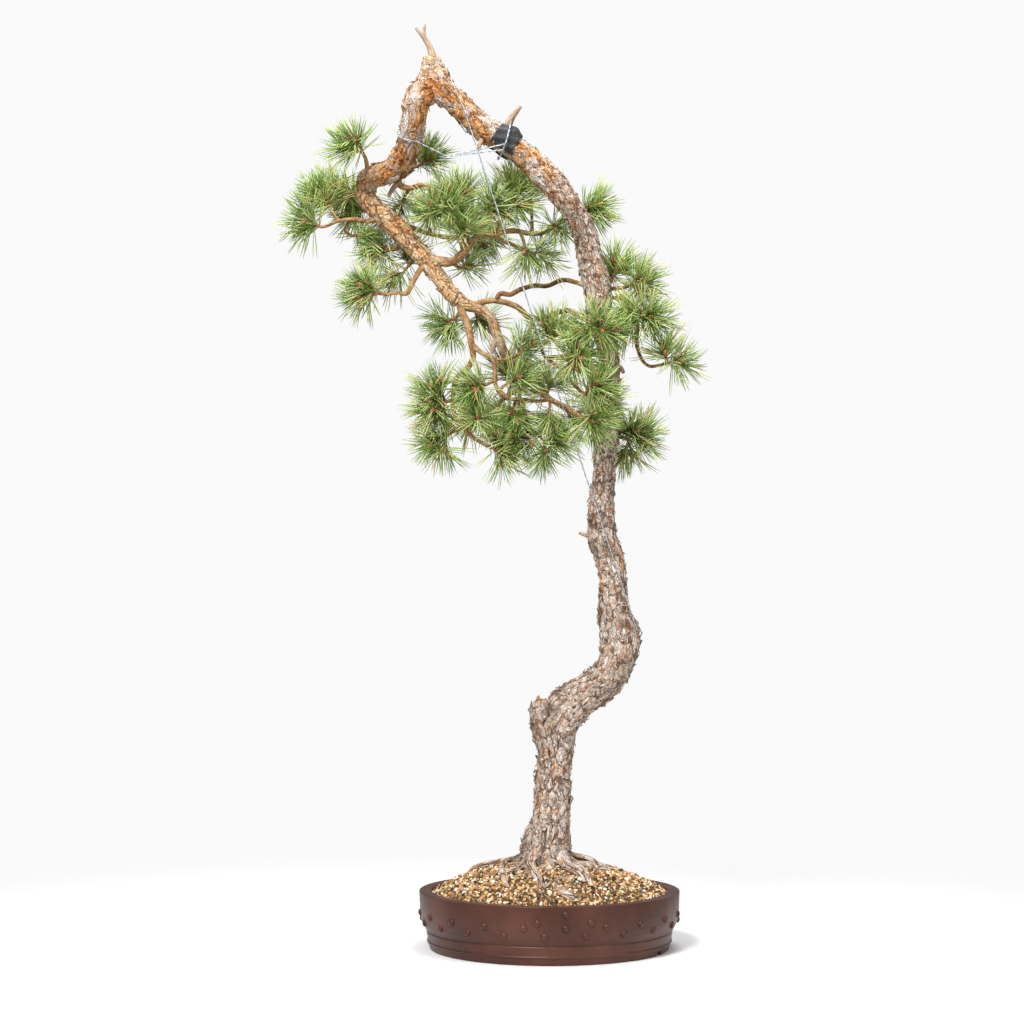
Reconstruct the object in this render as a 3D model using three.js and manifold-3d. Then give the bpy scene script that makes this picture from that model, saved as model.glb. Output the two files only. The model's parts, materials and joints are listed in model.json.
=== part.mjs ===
// A Scots pine bonsai in a round, unglazed pot, in millimetres, +Z up.
// The origin lies on the surface that the pot stands on, below the middle of the whole object.
// +X is to the right and +Y to the back, as seen from the front of the tree.

import * as THREE from 'three';
import { mergeVertices } from 'three/addons/utils/BufferGeometryUtils.js';
import Module from 'manifold-3d';

const wasm = await Module();
wasm.setup();

// Driving dimensions
const POT_CENTRE_X = 59.2;
const POT_RADIUS = 129.5;
const POT_HEIGHT = 57;
const POT_WALL = 12.2;
const POT_FLOOR_TOP = 17.4;
const POT_SIDES = 32;
const SOIL_RIM_HEIGHT = 53.5;
const SOIL_MOUND = 32;
const NEEDLE_LENGTH = 35;
const WIRE_RADIUS = 0.8;
const PAD_THICKNESS = 2.6;
const CLEARANCE = 0.35;

// The tree is described as seen by an eye 2.4 m in front of it. A place is given as right and
// up in the upright plane through the trunk's foot, and then slid back along the line of sight.
const EYE = new THREE.Vector3(22, -2400, 370);

function placed([right, up, back]) {
  const inPlane = new THREE.Vector3(right, 0, up);
  return inPlane.sub(EYE).multiplyScalar(1 - back / EYE.y).add(EYE);
}

// The fallen limb swings back as it comes down, so that what it bears hangs behind the long wire.
// The swing is full below one height, nothing above another, and dies away towards the trunk and
// for what lies far back already.
const LIMB_SWING = 80;
const SWING_HEIGHTS = [740, 850];
const SWING_TRUNK_SIDE = [60, 100];
const SWING_DEPTHS = [0, 100];

function swung([right, up, back, ...radius]) {
  const { smoothstep, clamp, inverseLerp } = THREE.MathUtils;
  const fallen = 1 - smoothstep(up, ...SWING_HEIGHTS);
  const clearOfTrunk = 1 - smoothstep(right, ...SWING_TRUNK_SIDE);
  const inFront = 1 - clamp(inverseLerp(...SWING_DEPTHS, back), 0, 1);
  return [right, up, back + LIMB_SWING * fallen * clearOfTrunk * inFront, ...radius];
}

// Wood: every stem is a row of [right, up, back, radius].
const TRUNK = [
  [55, 46, 2, 24], [55.5, 72, 2, 25], [56, 92, 2, 25], [57, 108, 1, 24], [59.5, 118, 0, 21],
  [61, 130, 0, 19.5], [63, 150, 0, 18.3], [63, 170, 0, 18.3], [65, 188, -1, 18],
  [66, 204, -3, 18.5], [68, 220, -5, 20.5], [77, 238, -6, 21], [95, 251, -4, 19],
  [115, 265, -1, 18.3], [126, 282, 1, 18], [130, 300, 2, 19.5], [129, 316, 3, 20],
  [124.5, 330, 4, 17], [123, 348, 5, 15], [123, 368, 6, 13.2], [119, 388, 8, 15],
  [113, 405, 8, 14.8], [111, 430, 8, 13.8], [113, 458, 7, 12], [115, 478, 6, 11],
  [116, 498, 5, 12], [116, 518, 4, 13], [117.5, 548, 4, 11.5], [119.3, 578, 4, 10.8],
  [116, 608, 4, 11], [109, 628, 3, 13], [108.5, 648, 2, 13], [105, 668, 0, 14],
  [100.5, 688, -1, 13.3], [96, 708, -2, 12], [88.5, 727, -3, 11.5], [82, 738, -3, 12],
  [73, 750, -4, 13], [60, 765, -5, 13], [46, 780, -5, 13.5], [32, 792, -6, 12],
  [17, 804, -7, 12], [-5, 818, -7, 13.6], [-22, 833, -8, 12.5], [-38, 848, -9, 12.3],
  [-50, 859, -10, 14.5], [-57, 873, -10, 15], [-59, 883, -10, 9.5],
];
const TRUNK_KNOB = [[65, 196, -2, 16], [59, 212, -4, 16.5], [54, 225, -6, 15], [51.5, 235, -8, 12]];
const LIMB_TOP = [
  [-57, 868, -10, 12.5], [-67, 856, -12, 14], [-73, 847, -14, 13.4], [-76, 833, -17, 12.6],
  [-78.5, 818, -20, 12.3], [-80.5, 806, -23, 12.3], [-84, 796, -26, 12.6], [-90, 785, -29, 13.4],
];
const LIMB_ELBOW = [
  [-86, 783, -29, 12], [-96, 777, -31, 13], [-108, 773, -34, 12.3], [-118, 770, -36, 11.5],
];
const LIMB_LOW = [
  [-122, 767, -36, 11.5], [-125, 756, -37, 10.6], [-122, 746, -38, 10], [-109, 732, -38, 10.3],
  [-95, 720, -39, 11], [-80, 703, -40, 10], [-68, 690, -40, 9.6], [-58, 677, -40, 9],
  [-48, 664, -40, 8.2], [-40, 653, -40, 8], [-31, 645, -40, 8],
];

// Branches, each growing out of the stem named first
const BRANCHES = {
  fork_right: ['limb_low', [
    [-34, 646, -40, 7.5], [-25, 641, -40, 6.8], [-15, 638, -41, 5.6], [-5, 633, -43, 5.5],
    [2, 626, -45, 5.3], [6, 613, -47, 5.2], [10, 602, -48, 5], [16, 590, -46, 4.6],
    [24, 577, -36, 3.9], [32, 568, -14, 3.6],
  ]],
  fork_down: ['limb_low', [
    [-33, 644, -40, 5], [-28, 633, -42, 4.2], [-22, 620, -46, 3.8], [-19, 604, -50, 3.6],
    [-17, 590, -52, 3.2], [-21, 579, -53, 2.9], [-33, 568, -54, 2.6], [-37, 552, -56, 2.3],
    [-36, 532, -58, 2.2], [-24, 514, -58, 2.1], [-8, 502, -58, 2], [0, 498, -58, 1.9],
  ]],
  front_arm: ['fork_right', [
    [-20, 640, -41, 4], [-12, 642, -42, 3.2], [0, 645, -43, 3], [16, 643, -43, 3],
    [28, 638, -43, 3], [38, 629, -42, 3], [50, 627, -40, 2.8], [62, 631, -38, 2.7],
    [76, 635, -36, 2.6], [88, 631, -34, 2.4], [99, 624, -33, 2.2],
  ]],
  back_arm: ['front_arm', [
    [5, 644, -43, 3], [10, 652, -44, 2.6], [20, 651, -42, 2.6], [30, 656, -34, 2.6],
    [44, 660, -20, 2.5], [58, 660, -6, 2.5], [70, 665, 6, 2.5], [84, 664, 17, 2.5],
    [102, 658, 23, 2.4], [120, 657, 22, 2.2], [134, 658, 20, 2],
  ]],
  right_drop: ['back_arm', [
    [104, 657, 23, 2.2], [114, 649, 24, 2.1], [133, 647, 22, 2], [145, 640, 19, 2],
    [148, 620, 16, 1.9], [147, 602, 14, 1.9], [152, 586, 12, 1.8], [160, 579, 10, 1.7],
    [174, 581, 8, 1.6],
  ]],
  rear_arm: ['fork_right', [
    [30, 569, -18, 3.4], [40, 561, 8, 3.2], [56, 549, 26, 3], [78, 535, 33, 2.8],
    [102, 522, 34, 2.5], [122, 512, 30, 2.2], [134, 507, 26, 2],
  ]],
  mid_arm: ['limb_low', [
    [-66, 688, -40, 6], [-52, 685, -44, 5.4], [-39, 684, -49, 4.8], [-28, 692, -54, 4.3],
    [-20, 703, -57, 3.8], [-10, 711, -60, 3.4], [5, 713, -61, 3], [25, 715, -56, 2.6],
    [42, 712, -46, 2.4], [56, 714, -28, 2.2], [67, 721, -4, 2.1], [78, 727, 13, 2],
    [88, 733, 19, 1.8],
  ]],
  upper_arch: ['limb_top', [
    [-91, 773, -32, 4.5], [-91, 762, -37, 3.4], [-81, 758, -42, 3], [-70, 761, -47, 2.8],
    [-60, 759, -51, 2.6], [-53, 750, -56, 2.4], [-47, 740, -60, 2.1],
  ]],
  left_arm: ['limb_low', [
    [-110, 731, -39, 3.2], [-120, 725, -41, 2.4], [-138, 727, -43, 2], [-152, 725, -45, 1.9],
    [-164, 720, -47, 1.7],
  ]],
  low_left_arm: ['limb_low', [
    [-58, 678, -41, 4], [-68, 678, -45, 3], [-76, 666, -49, 2.6], [-84, 652, -52, 2.4],
    [-92, 653, -54, 2.1], [-107, 651, -56, 1.8],
  ]],
  inner_arm: ['fork_down', [
    [-19, 600, -50, 3], [-9, 593, -54, 2.4], [2, 587, -58, 2.3], [5, 572, -62, 2.1],
    [7, 556, -65, 2], [18, 547, -66, 1.9], [32, 546, -65, 1.9], [46, 544, -62, 1.9],
    [60, 545, -58, 1.8], [76, 539, -53, 1.7], [88, 531, -50, 1.6],
  ]],
  centre_drop: ['front_arm', [
    [42, 628, -42, 2.4], [46, 615, -44, 2.1], [50, 602, -48, 2], [56, 588, -52, 1.9],
    [68, 579, -53, 1.8], [80, 565, -52, 1.7], [90, 554, -50, 1.6],
  ]],
  low_drop: ['inner_arm', [
    [32, 546, -65, 2], [35, 532, -63, 1.9], [40, 518, -60, 1.8], [50, 509, -57, 1.7],
  ]],
  back_fill: ['rear_arm', [
    [38, 562, 6, 3], [30, 556, 26, 2.6], [18, 550, 42, 2.4], [6, 540, 50, 2.2], [-8, 530, 56, 1.9],
  ]],
  rear_upper: ['limb_low', [
    [-96, 722, -34, 4], [-90, 722, -14, 3.2], [-78, 718, 10, 2.8], [-60, 712, 34, 2.4],
    [-38, 708, 54, 2.1], [-20, 712, 68, 1.8],
  ]],
};

// Dead snags and stubs of wood, each growing out of the stem named first
const SNAGS = [
  ['trunk', [[-58, 880, -10, 7], [-58, 890, -9, 4.2], [-61, 901, -8, 3.2], [-67, 911, -8, 2.4]]],
  ['snag_0', [[-66, 909, -8, 2.2], [-71, 915, -9, 1.7], [-75, 920, -9, 1.2]]],
  ['snag_0', [[-66, 909, -8, 2.2], [-66.5, 916, -7, 1.5], [-65.5, 923, -7, 0.9]]],
  ['trunk', [[16, 806, -7, 5], [20, 826, -9, 4], [31, 841, -12, 1.6]]],
  ['trunk', [[-5, 812, -9, 3], [-11, 801, -13, 2.4], [-12, 796, -14, 1.6]]],
  ['trunk', [[104, 404, 6, 3], [96, 410, 4, 2.4], [89, 412, 3, 1.4]]],
  ['trunk', [[118, 580, 2, 4], [131, 577, -1, 2.6], [134, 572, -2, 1.6]]],
  ['trunk', [[130, 304, 10, 5], [133, 303, 28, 3.4], [134, 304, 40, 2.6]]],
  ['fork_right', [[8, 606, -47, 4], [3, 599, -50, 3], [2, 592, -51, 1.8]]],
  ['upper_arch', [[-90, 764, -36, 3], [-98, 757, -38, 2.6], [-102, 750, -39, 1.8]]],
];

// Roots, each a row of [x, y, height of its middle above the soil, radius]
const ROOTS = [
  [[45, 0, 8, 7], [25, 0, 5, 3.2], [10, 6, 4, 2.6], [-6, 14, 5, 2.3], [-18, 20, 3, 2], [-26, 24, -5, 1.6]],
  [[17, 3, 4, 2.6], [12, -20, 2, 2.8], [13, -45, 1, 2.8], [15, -64, 0, 2.6], [24, -86, -5, 1.8]],
  [[48, -8, 10, 9], [41, -30, 4, 5], [44, -52, 1, 4], [50, -78, 0, 3.4], [52, -92, -6, 2.6]],
  [[44, -14, 7, 5], [32, -28, 2, 2.6], [25, -40, -5, 1.8]],
  [[66, -8, 9, 8], [78, -30, 4, 3.6], [90, -42, 3, 2.8], [97, -66, 1, 2.5], [103, -90, -5, 1.8]],
  [[70, -20, 5, 5], [76, -46, 2, 2.6], [88, -58, 2, 2.2], [95, -80, -4, 1.6]],
  [[84, -62, -3, 2], [72, -66, 1.5, 2], [62, -74, 1, 1.8], [52, -90, 0, 1.7], [46, -102, -5, 1.4]],
  [[68, 4, 10, 7], [82, 8, 6, 3.2], [94, 12, 5, 2.8], [106, 9, 2, 2.6], [116, 4, -5, 2]],
  [[46, 12, 8, 8], [32, 32, 2, 4], [20, 54, 0, 3], [12, 72, -5, 2]],
  [[62, 12, 8, 8], [74, 36, 2, 4], [80, 58, 0, 3], [92, 76, -5, 2]],
  [[58, -10, 4, 7], [61, -50, -4, 4.5], [67, -86, -2, 4.2], [74, -96, 0, 4.5], [83, -103, 1, 4]],
];

// Leafy twigs: the stem that each grows from, its route, and the tips of its shoots
const LEAFY_TWIGS = [
  ['limb_low', [[-120, 776, -34, 3], [-125, 788, -32, 2], [-128, 794, -31, 1.7]],
    [[-133, 808, -30], [-141, 800, -24]]],
  ['limb_low', [[-125, 757, -34, 3], [-136, 752, -20, 2]], [[-145, 745, -10], [-148, 758, -12]]],
  ['left_arm', [[-152, 725, -45, 1.7], [-161, 738, -36, 1.6]],
    [[-170, 745, -32], [-177, 754, -26], [-164, 758, -24]]],
  ['left_arm', [[-164, 720, -47, 1.7], [-170, 719, -47, 1.6]], [[-180, 721, -46], [-189, 731, -44]]],
  ['left_arm', [[-138, 727, -43, 1.8], [-146, 716, -34, 1.5], [-138, 710, -24, 1.4]], [[-124, 713, -12]]],
  ['low_left_arm', [[-104, 651, -56, 1.8], [-112, 652, -57, 1.6]],
    [[-125, 657, -58], [-132, 649, -62], [-126, 652, -48]]],
  ['limb_low', [[-84, 706, -42, 2.6], [-94, 697, -26, 1.9], [-101, 696, -16, 1.7]],
    [[-113, 700, -10], [-111, 692, -2]]],
  ['limb_low', [[-72, 692, -43, 2.6], [-82, 680, -24, 1.7]], [[-94, 667, -14], [-85, 689, -6]]],
  ['limb_top', [[-88, 782, -26, 3], [-79, 779, -12, 2], [-72, 780, -6, 1.7]],
    [[-62, 790, -2], [-66, 788, 10]]],
  ['upper_arch', [[-81, 758, -42, 2.2], [-86, 749, -26, 1.7]], [[-90, 737, -10]]],
  ['upper_arch', [[-47, 740, -60, 2.1], [-48, 738, -55, 1.8]],
    [[-49, 735, -68], [-60, 732, -67], [-38, 741, -68]]],
  ['mid_arm', [[-20, 703, -57, 2.6], [-26, 722, -54, 2], [-30, 738, -50, 1.7]],
    [[-36, 756, -47], [-24, 757, -52]]],
  ['mid_arm', [[-10, 711, -60, 2.4], [-8, 722, -58, 1.9], [-3, 731, -56, 1.7]],
    [[2, 741, -68], [11, 738, -66]]],
  ['mid_arm', [[-24, 697, -55, 2.4], [-28, 706, -63, 1.8]], [[-33, 717, -66], [-22, 720, -66]]],
  ['mid_arm', [[5, 713, -61, 2.2], [14, 730, -52, 1.8], [18, 746, -46, 1.6]],
    [[19, 763, -44], [30, 758, -40], [31, 740, -58]]],
  ['mid_arm', [[42, 712, -46, 2], [42, 728, -32, 1.7], [41, 742, -22, 1.6]], [[41, 757, -14]]],
  ['mid_arm', [[30, 714, -54, 2], [34, 704, -56, 1.7]], [[39, 690, -62]]],
  ['mid_arm', [[54, 713, -30, 2], [60, 720, -34, 1.6]], [[67, 722, -48]]],
  ['mid_arm', [[84, 731, 18, 1.8], [92, 736, 20, 1.6]], [[102, 742, 24], [105, 731, 28]]],
  ['mid_arm', [[-39, 684, -49, 2.4], [-31, 678, -34, 1.8]], [[-19, 680, -24]]],
  ['mid_arm', [[0, 712, -61, 2.2], [20, 702, -54, 1.8], [40, 694, -44, 1.6]], [[55, 693, -36]]],
  ['fork_down', [[-29, 636, -42, 2.4], [-34, 628, -30, 1.7]], [[-40, 614, -20], [-49, 619, -12]]],
  ['fork_right', [[-12, 636, -42, 2.4], [-14, 631, -32, 1.7]], [[-13, 622, -22]]],
  ['fork_down', [[-37, 546, -56, 1.9], [-44, 543, -58, 1.7]],
    [[-60, 547, -63], [-55, 561, -60], [-60, 532, -62], [-52, 526, -64]]],
  ['fork_down', [[-32, 517, -58, 2], [-42, 510, -58, 1.6]], [[-56, 507, -54], [-51, 493, -63]]],
  ['fork_down', [[-18, 510, -58, 1.9], [-15, 518, -58, 1.6]], [[-12, 528, -66]]],
  ['fork_down', [[0, 498, -58, 1.9], [3, 497, -58, 1.7]], [[14, 489, -62], [10, 508, -60], [22, 496, -54]]],
  ['inner_arm', [[6, 566, -62, 1.9], [-3, 561, -64, 1.6]], [[-16, 563, -65], [-14, 552, -67]]],
  ['inner_arm', [[8, 554, -63, 1.9], [14, 560, -65, 1.6]], [[26, 566, -68]]],
  ['inner_arm', [[2, 588, -58, 2], [14, 586, -62, 1.7], [24, 589, -63, 1.6]], [[38, 598, -64]]],
  ['inner_arm', [[26, 546, -65, 1.8], [24, 540, -60, 1.6]], [[20, 530, -68]]],
  ['inner_arm', [[88, 531, -50, 1.6], [93, 527, -48, 1.6]], [[104, 519, -46], [104, 531, -58]]],
  ['inner_arm', [[60, 545, -58, 1.7], [60, 538, -63, 1.6]], [[60, 524, -66]]],
  ['low_drop', [[50, 509, -57, 1.7], [54, 504, -58, 1.6]], [[68, 506, -56], [55, 489, -64]]],
  ['low_drop', [[40, 518, -60, 1.7], [36, 511, -58, 1.6]], [[31, 501, -66]]],
  ['centre_drop', [[50, 602, -48, 1.9], [58, 604, -58, 1.6]], [[70, 613, -68], [60, 617, -66]]],
  ['centre_drop', [[56, 588, -52, 1.9], [68, 589, -58, 1.6], [76, 590, -61, 1.6]],
    [[90, 600, -66], [91, 587, -72], [86, 577, -74]]],
  ['centre_drop', [[90, 554, -50, 1.6], [95, 551, -50, 1.6]], [[111, 549, -50], [106, 563, -63]]],
  ['front_arm', [[99, 624, -33, 2.2], [103, 621, -36, 2]],
    [[112, 615, -56], [96, 610, -52], [120, 606, -42]]],
  ['back_arm', [[116, 657, 22, 2], [122, 666, 24, 1.8]], [[130, 678, 26], [120, 680, 36]]],
  ['back_arm', [[134, 658, 20, 2], [139, 660, 19, 1.8]], [[150, 667, 12], [158, 655, 8]]],
  ['right_drop', [[147, 632, 18, 2], [151, 628, 8, 1.6]],
    [[156, 634, -8], [163, 620, -2], [142, 634, -10], [140, 618, -8]]],
  ['right_drop', [[174, 581, 8, 1.6], [177, 582, 7, 1.5]], [[188, 585, 4], [176, 592, -6]]],
  ['rear_arm', [[132, 508, 27, 2], [137, 506, 22, 1.7]],
    [[150, 512, 12], [155, 501, 22], [142, 490, 26], [138, 516, 8]]],
  ['back_fill', [[-8, 530, 56, 1.9], [-11, 528, 58, 1.7]], [[-22, 524, 59], [-12, 541, 60], [0, 518, 57]]],
  ['back_fill', [[18, 550, 42, 2], [22, 562, 46, 1.7]], [[30, 578, 50], [12, 576, 54]]],
  ['back_fill', [[30, 556, 26, 2], [29, 542, 36, 1.7]], [[34, 527, 44], [16, 529, 46]]],
  ['rear_arm', [[56, 549, 26, 2], [58, 554, 42, 1.7]], [[62, 564, 58], [50, 556, 62]]],
  ['rear_arm', [[78, 535, 33, 2], [79, 530, 46, 1.7]], [[82, 523, 64], [70, 518, 60]]],
  ['rear_arm', [[102, 522, 34, 2], [104, 530, 44, 1.7]], [[112, 543, 54], [101, 548, 60]]],
  ['rear_upper', [[-20, 712, 68, 1.8], [-17, 713, 71, 1.7]],
    [[-4, 716, 78], [-12, 727, 77], [-8, 703, 82]]],
  ['rear_upper', [[-60, 712, 34, 2], [-62, 722, 45, 1.7]], [[-67, 735, 56], [-54, 737, 58]]],
  ['rear_upper', [[-92, 722, -16, 2.4], [-112, 730, -2, 2], [-126, 735, 4, 1.7]],
    [[-140, 742, 10], [-136, 729, 18]]],
];

// Solids and nodes

const bonsai = new THREE.Group();

function finish(colour, roughness, metalness = 0) {
  return new THREE.MeshStandardMaterial({ color: colour, roughness, metalness });
}

const BARK = finish('#8f7460', 0.95);
const NEEDLE_GREEN = finish('#6f8f45', 0.6);
const STONEWARE = finish('#6d4a40', 0.7);
const GRIT = finish('#a98a4c', 0.98);
const RUBBER = finish('#1b1b1c', 0.75);
const ALUMINIUM = finish('#c9ccd0', 0.35, 1);
const PLASTIC = finish('#2c2f2b', 0.6);

function solidFrom(geometry) {
  const bare = geometry.clone();
  bare.deleteAttribute('normal');
  bare.deleteAttribute('uv');
  const merged = mergeVertices(bare, 1e-4);
  return new wasm.Manifold(new wasm.Mesh({
    numProp: 3,
    vertProperties: merged.attributes.position.array,
    triVerts: Uint32Array.from(merged.index.array),
  }));
}

function addNode(name, solid, material) {
  const mesh = solid.getMesh();
  const geometry = new THREE.BufferGeometry();
  geometry.setAttribute('position', new THREE.BufferAttribute(mesh.vertProperties, 3));
  geometry.setIndex(new THREE.BufferAttribute(mesh.triVerts, 1));
  const node = new THREE.Mesh(geometry, material);
  node.name = name;
  bonsai.add(node);
}

// A small generator with a fixed seed for each spray, so that every build gives the same tree.
const SPRAY_SEED = 7919;
let seed = SPRAY_SEED;
function random() {
  seed = (seed * 16807) % 2147483647;
  return seed / 2147483647;
}

function between(low, high) {
  return low + (high - low) * random();
}

// Stems

// A young stem is smooth, and an old one has bark that stands out in rough plates.
const OLD_STEM_RADIUS = 7;
const BARK_DEPTH = 0.065;

function barkRadius(ring, angle) {
  if (ring.radius < OLD_STEM_RADIUS) return ring.radius;
  const plates = Math.sin(5 * angle + 0.19 * ring.along) * Math.sin(0.31 * ring.along - 2 * angle);
  const ridges = 0.5 * Math.sin(3 * angle - 0.12 * ring.along);
  return ring.radius * (1 + BARK_DEPTH * (plates + ridges));
}

function sidesFor(radius) {
  if (radius > 11) return 10;
  if (radius > 7) return 8;
  if (radius > 3.4) return 5;
  return radius > 2.2 ? 4 : 3;
}

// Rings round a smooth curve through a stem's points. Each ring has a centre, a radius, two
// directions across and how far along the stem it lies.
function ringsOf(centres, radii, step, endHeading) {
  const curve = new THREE.CatmullRomCurve3(centres, false, 'centripetal');
  const last = centres.length - 1;
  const rings = [];
  let across = new THREE.Vector3(0.3, -1, 0.2).normalize();
  let along = 0;
  for (let i = 0; i <= last; i++) {
    const gap = i < last ? centres[i].distanceTo(centres[i + 1]) : 0;
    const pieces = i < last ? Math.max(1, Math.round(gap / step)) : 1;
    for (let k = 0; k < pieces; k++) {
      const t = (i + k / pieces) / last;
      const centre = curve.getPoint(t);
      const heading = i === last && endHeading ? endHeading : curve.getTangent(t);
      across = across.clone().addScaledVector(heading, -across.dot(heading)).normalize();
      const radius = radii[i] + ((radii[i + 1] ?? radii[i]) - radii[i]) * (k / pieces);
      if (rings.length) along += centre.distanceTo(rings.at(-1).centre);
      rings.push({ centre, heading, across, side: heading.clone().cross(across), radius, along });
    }
  }
  return rings;
}

function ringPoint(ring, angle, radius) {
  return ring.centre.clone()
    .addScaledVector(ring.across, Math.cos(angle) * radius)
    .addScaledVector(ring.side, Math.sin(angle) * radius);
}

// An old stem's end is rounded and a young one's is cut square.
const END_REACH = 0.55;
const END_WIDTH = 0.62;

function roundedEnd(ring, direction) {
  if (ring.radius < OLD_STEM_RADIUS) return [];
  const shift = ring.heading.clone().multiplyScalar(direction * ring.radius * END_REACH);
  return [{ ...ring, centre: ring.centre.clone().add(shift), radius: ring.radius * END_WIDTH }];
}

// A closed tube through the rings, larger all round by what it grows
function tube(rings, grow = 0, surface = barkRadius) {
  const sides = sidesFor(rings[rings.length >> 1].radius);
  const bark = surface === barkRadius;
  const all = bark ? [...roundedEnd(rings[0], -1), ...rings, ...roundedEnd(rings.at(-1), 1)] : rings;
  const positions = [];
  for (const ring of all) {
    for (let side = 0; side < sides; side++) {
      const angle = (side / sides) * Math.PI * 2;
      positions.push(...ringPoint(ring, angle, surface(ring, angle) + grow).toArray());
    }
  }
  const endGrowth = all.at(-1).heading.clone().multiplyScalar(grow);
  positions.push(...all[0].centre.toArray(), ...all.at(-1).centre.clone().add(endGrowth).toArray());
  const firstCentre = all.length * sides;
  const faces = [];
  for (let side = 0; side < sides; side++) {
    const next = (side + 1) % sides;
    for (let row = 0; row + 1 < all.length; row++) {
      const [a, b] = [row * sides + side, row * sides + next];
      faces.push(a, b, b + sides, a, b + sides, a + sides);
    }
    const top = (all.length - 1) * sides;
    faces.push(firstCentre, next, side, firstCentre + 1, top + side, top + next);
  }
  const geometry = new THREE.BufferGeometry();
  geometry.setAttribute('position', new THREE.Float32BufferAttribute(positions, 3));
  geometry.setIndex(faces);
  return solidFrom(geometry);
}

// Everything that a needle has to miss, as rods with a radius at each end, out to the bark's plates
const rods = [];
const PLATES_REACH = 1.1;

function addRods(rings, owner) {
  for (let i = 0; i + 1 < rings.length; i++) {
    const [a, b] = [rings[i], rings[i + 1]];
    const [ra, rb] = [a.radius * PLATES_REACH, b.radius * PLATES_REACH];
    rods.push({ a: a.centre, b: b.centre, ra, rb, owner });
  }
}

const STEM_STEP = 15;
const stems = {};
const woodRings = [];

function addStem(name, points, parent, endHeading) {
  const centres = points.map(placed);
  if (parent) centres[0] = nearestOn(stems[parent], centres[0]);
  const radii = points.map((point) => point[3]);
  const rings = ringsOf(centres, radii, radii[0] > 9 ? STEM_STEP + 1 : STEM_STEP, endHeading);
  stems[name] = rings;
  woodRings.push(rings);
  addRods(rings, 'tree');
  return rings;
}

function nearestOn(rings, point) {
  return rings.reduce((best, ring) => (
    ring.centre.distanceTo(point) < best.distanceTo(point) ? ring.centre : best
  ), rings[0].centre).clone();
}

addStem('trunk', TRUNK);
addStem('knob', TRUNK_KNOB);
addStem('limb_top', LIMB_TOP.map(swung));
addStem('limb_elbow', LIMB_ELBOW.map(swung));
addStem('limb_low', LIMB_LOW.map(swung));
for (const [name, [parent, points]] of Object.entries(BRANCHES)) addStem(name, points.map(swung), parent);
SNAGS.forEach(([parent, points], i) => {
  addStem(`snag_${i}`, parent in BRANCHES ? points.map(swung) : points, parent);
});

// Soil: gritty, mounded towards the trunk, and level with the rim at the pot's wall.
const SOIL_RADIUS = POT_RADIUS - POT_WALL - CLEARANCE;
const SOIL_UNDERSIDE = POT_FLOOR_TOP + 1.6;
const SOIL_RINGS = 4;

function soilHeight(x, y) {
  const out = Math.min(1, Math.hypot(x - POT_CENTRE_X, y) / SOIL_RADIUS);
  const waves = 1.1 * Math.sin(0.11 * x + 1) * Math.cos(0.13 * y);
  return SOIL_RIM_HEIGHT + SOIL_MOUND * (1 - out * out) ** 0.9 + waves * (1 - out);
}

for (const points of ROOTS) {
  const centres = points.map(([x, y, lift]) => new THREE.Vector3(x, y, soilHeight(x, y) + lift));
  const rings = ringsOf(centres, points.map((point) => point[3]), 20);
  woodRings.push(rings);
}

// A leafy twig ends square, facing the first of its shoots.
const sprays = LEAFY_TWIGS.map(([parent, route, tips], i) => {
  const tipPoints = tips.map((tip) => placed(swung(tip)));
  const heading = tipPoints[0].clone().sub(placed(swung(route.at(-1)))).normalize();
  const rings = addStem(`twig_${i}`, route.map(swung), parent, heading);
  return { name: `spray_${String(i + 1).padStart(2, '0')}`, heading, tips: tipPoints, end: rings.at(-1) };
});

const wood = wasm.Manifold.union(woodRings.map((rings) => tube(rings)));
addNode('tree', wood.simplify(0.12), BARK);

// Soil round a plain hole that follows the trunk's foot and the buried roots
const soilProfile = [new THREE.Vector2(0, SOIL_UNDERSIDE), new THREE.Vector2(SOIL_RADIUS, SOIL_UNDERSIDE)];
for (let ring = 0; ring <= SOIL_RINGS; ring++) {
  soilProfile.push(new THREE.Vector2(SOIL_RADIUS * (1 - ring / SOIL_RINGS), SOIL_RIM_HEIGHT));
}
const soilShape = new THREE.LatheGeometry(soilProfile, POT_SIDES).rotateX(Math.PI / 2);
soilShape.translate(POT_CENTRE_X, 0, 0);
const soilPoints = soilShape.attributes.position;
for (let i = 0; i < soilPoints.count; i++) {
  const [x, y, z] = [soilPoints.getX(i), soilPoints.getY(i), soilPoints.getZ(i)];
  if (z > SOIL_RIM_HEIGHT - 1) soilPoints.setZ(i, soilHeight(x, y));
}
const woodAndGap = wasm.Manifold.union(woodRings.map((rings) => tube(rings, CLEARANCE)));
addNode('soil', solidFrom(soilShape).subtract(woodAndGap).simplify(0.08), GRIT);

// Pot: turned, with a foot ring, a ledge, a groove and a wide upper band.
const FOOT_TOP = 9;
const BAND_FOOT_RADIUS = 126.4;
const BAND_FOOT_HEIGHT = 24.6;
const potProfile = [
  [0, FOOT_TOP], [101, FOOT_TOP], [102, 0], [118.6, 0], [119.8, 9.6], [121.6, 10.8], [122.5, 19.5],
  [121.4, 22.2], [BAND_FOOT_RADIUS, BAND_FOOT_HEIGHT], [128.6, 36],
  [POT_RADIUS, POT_HEIGHT - 2.5], [POT_RADIUS - 2, POT_HEIGHT],
  [POT_RADIUS - POT_WALL + 1.5, POT_HEIGHT], [POT_RADIUS - POT_WALL, POT_HEIGHT - 2],
  [POT_RADIUS - POT_WALL, POT_FLOOR_TOP], [0, POT_FLOOR_TOP],
].map(([radius, height]) => new THREE.Vector2(radius, height));
const potBody = solidFrom(new THREE.LatheGeometry(potProfile, POT_SIDES).rotateX(Math.PI / 2));

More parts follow.
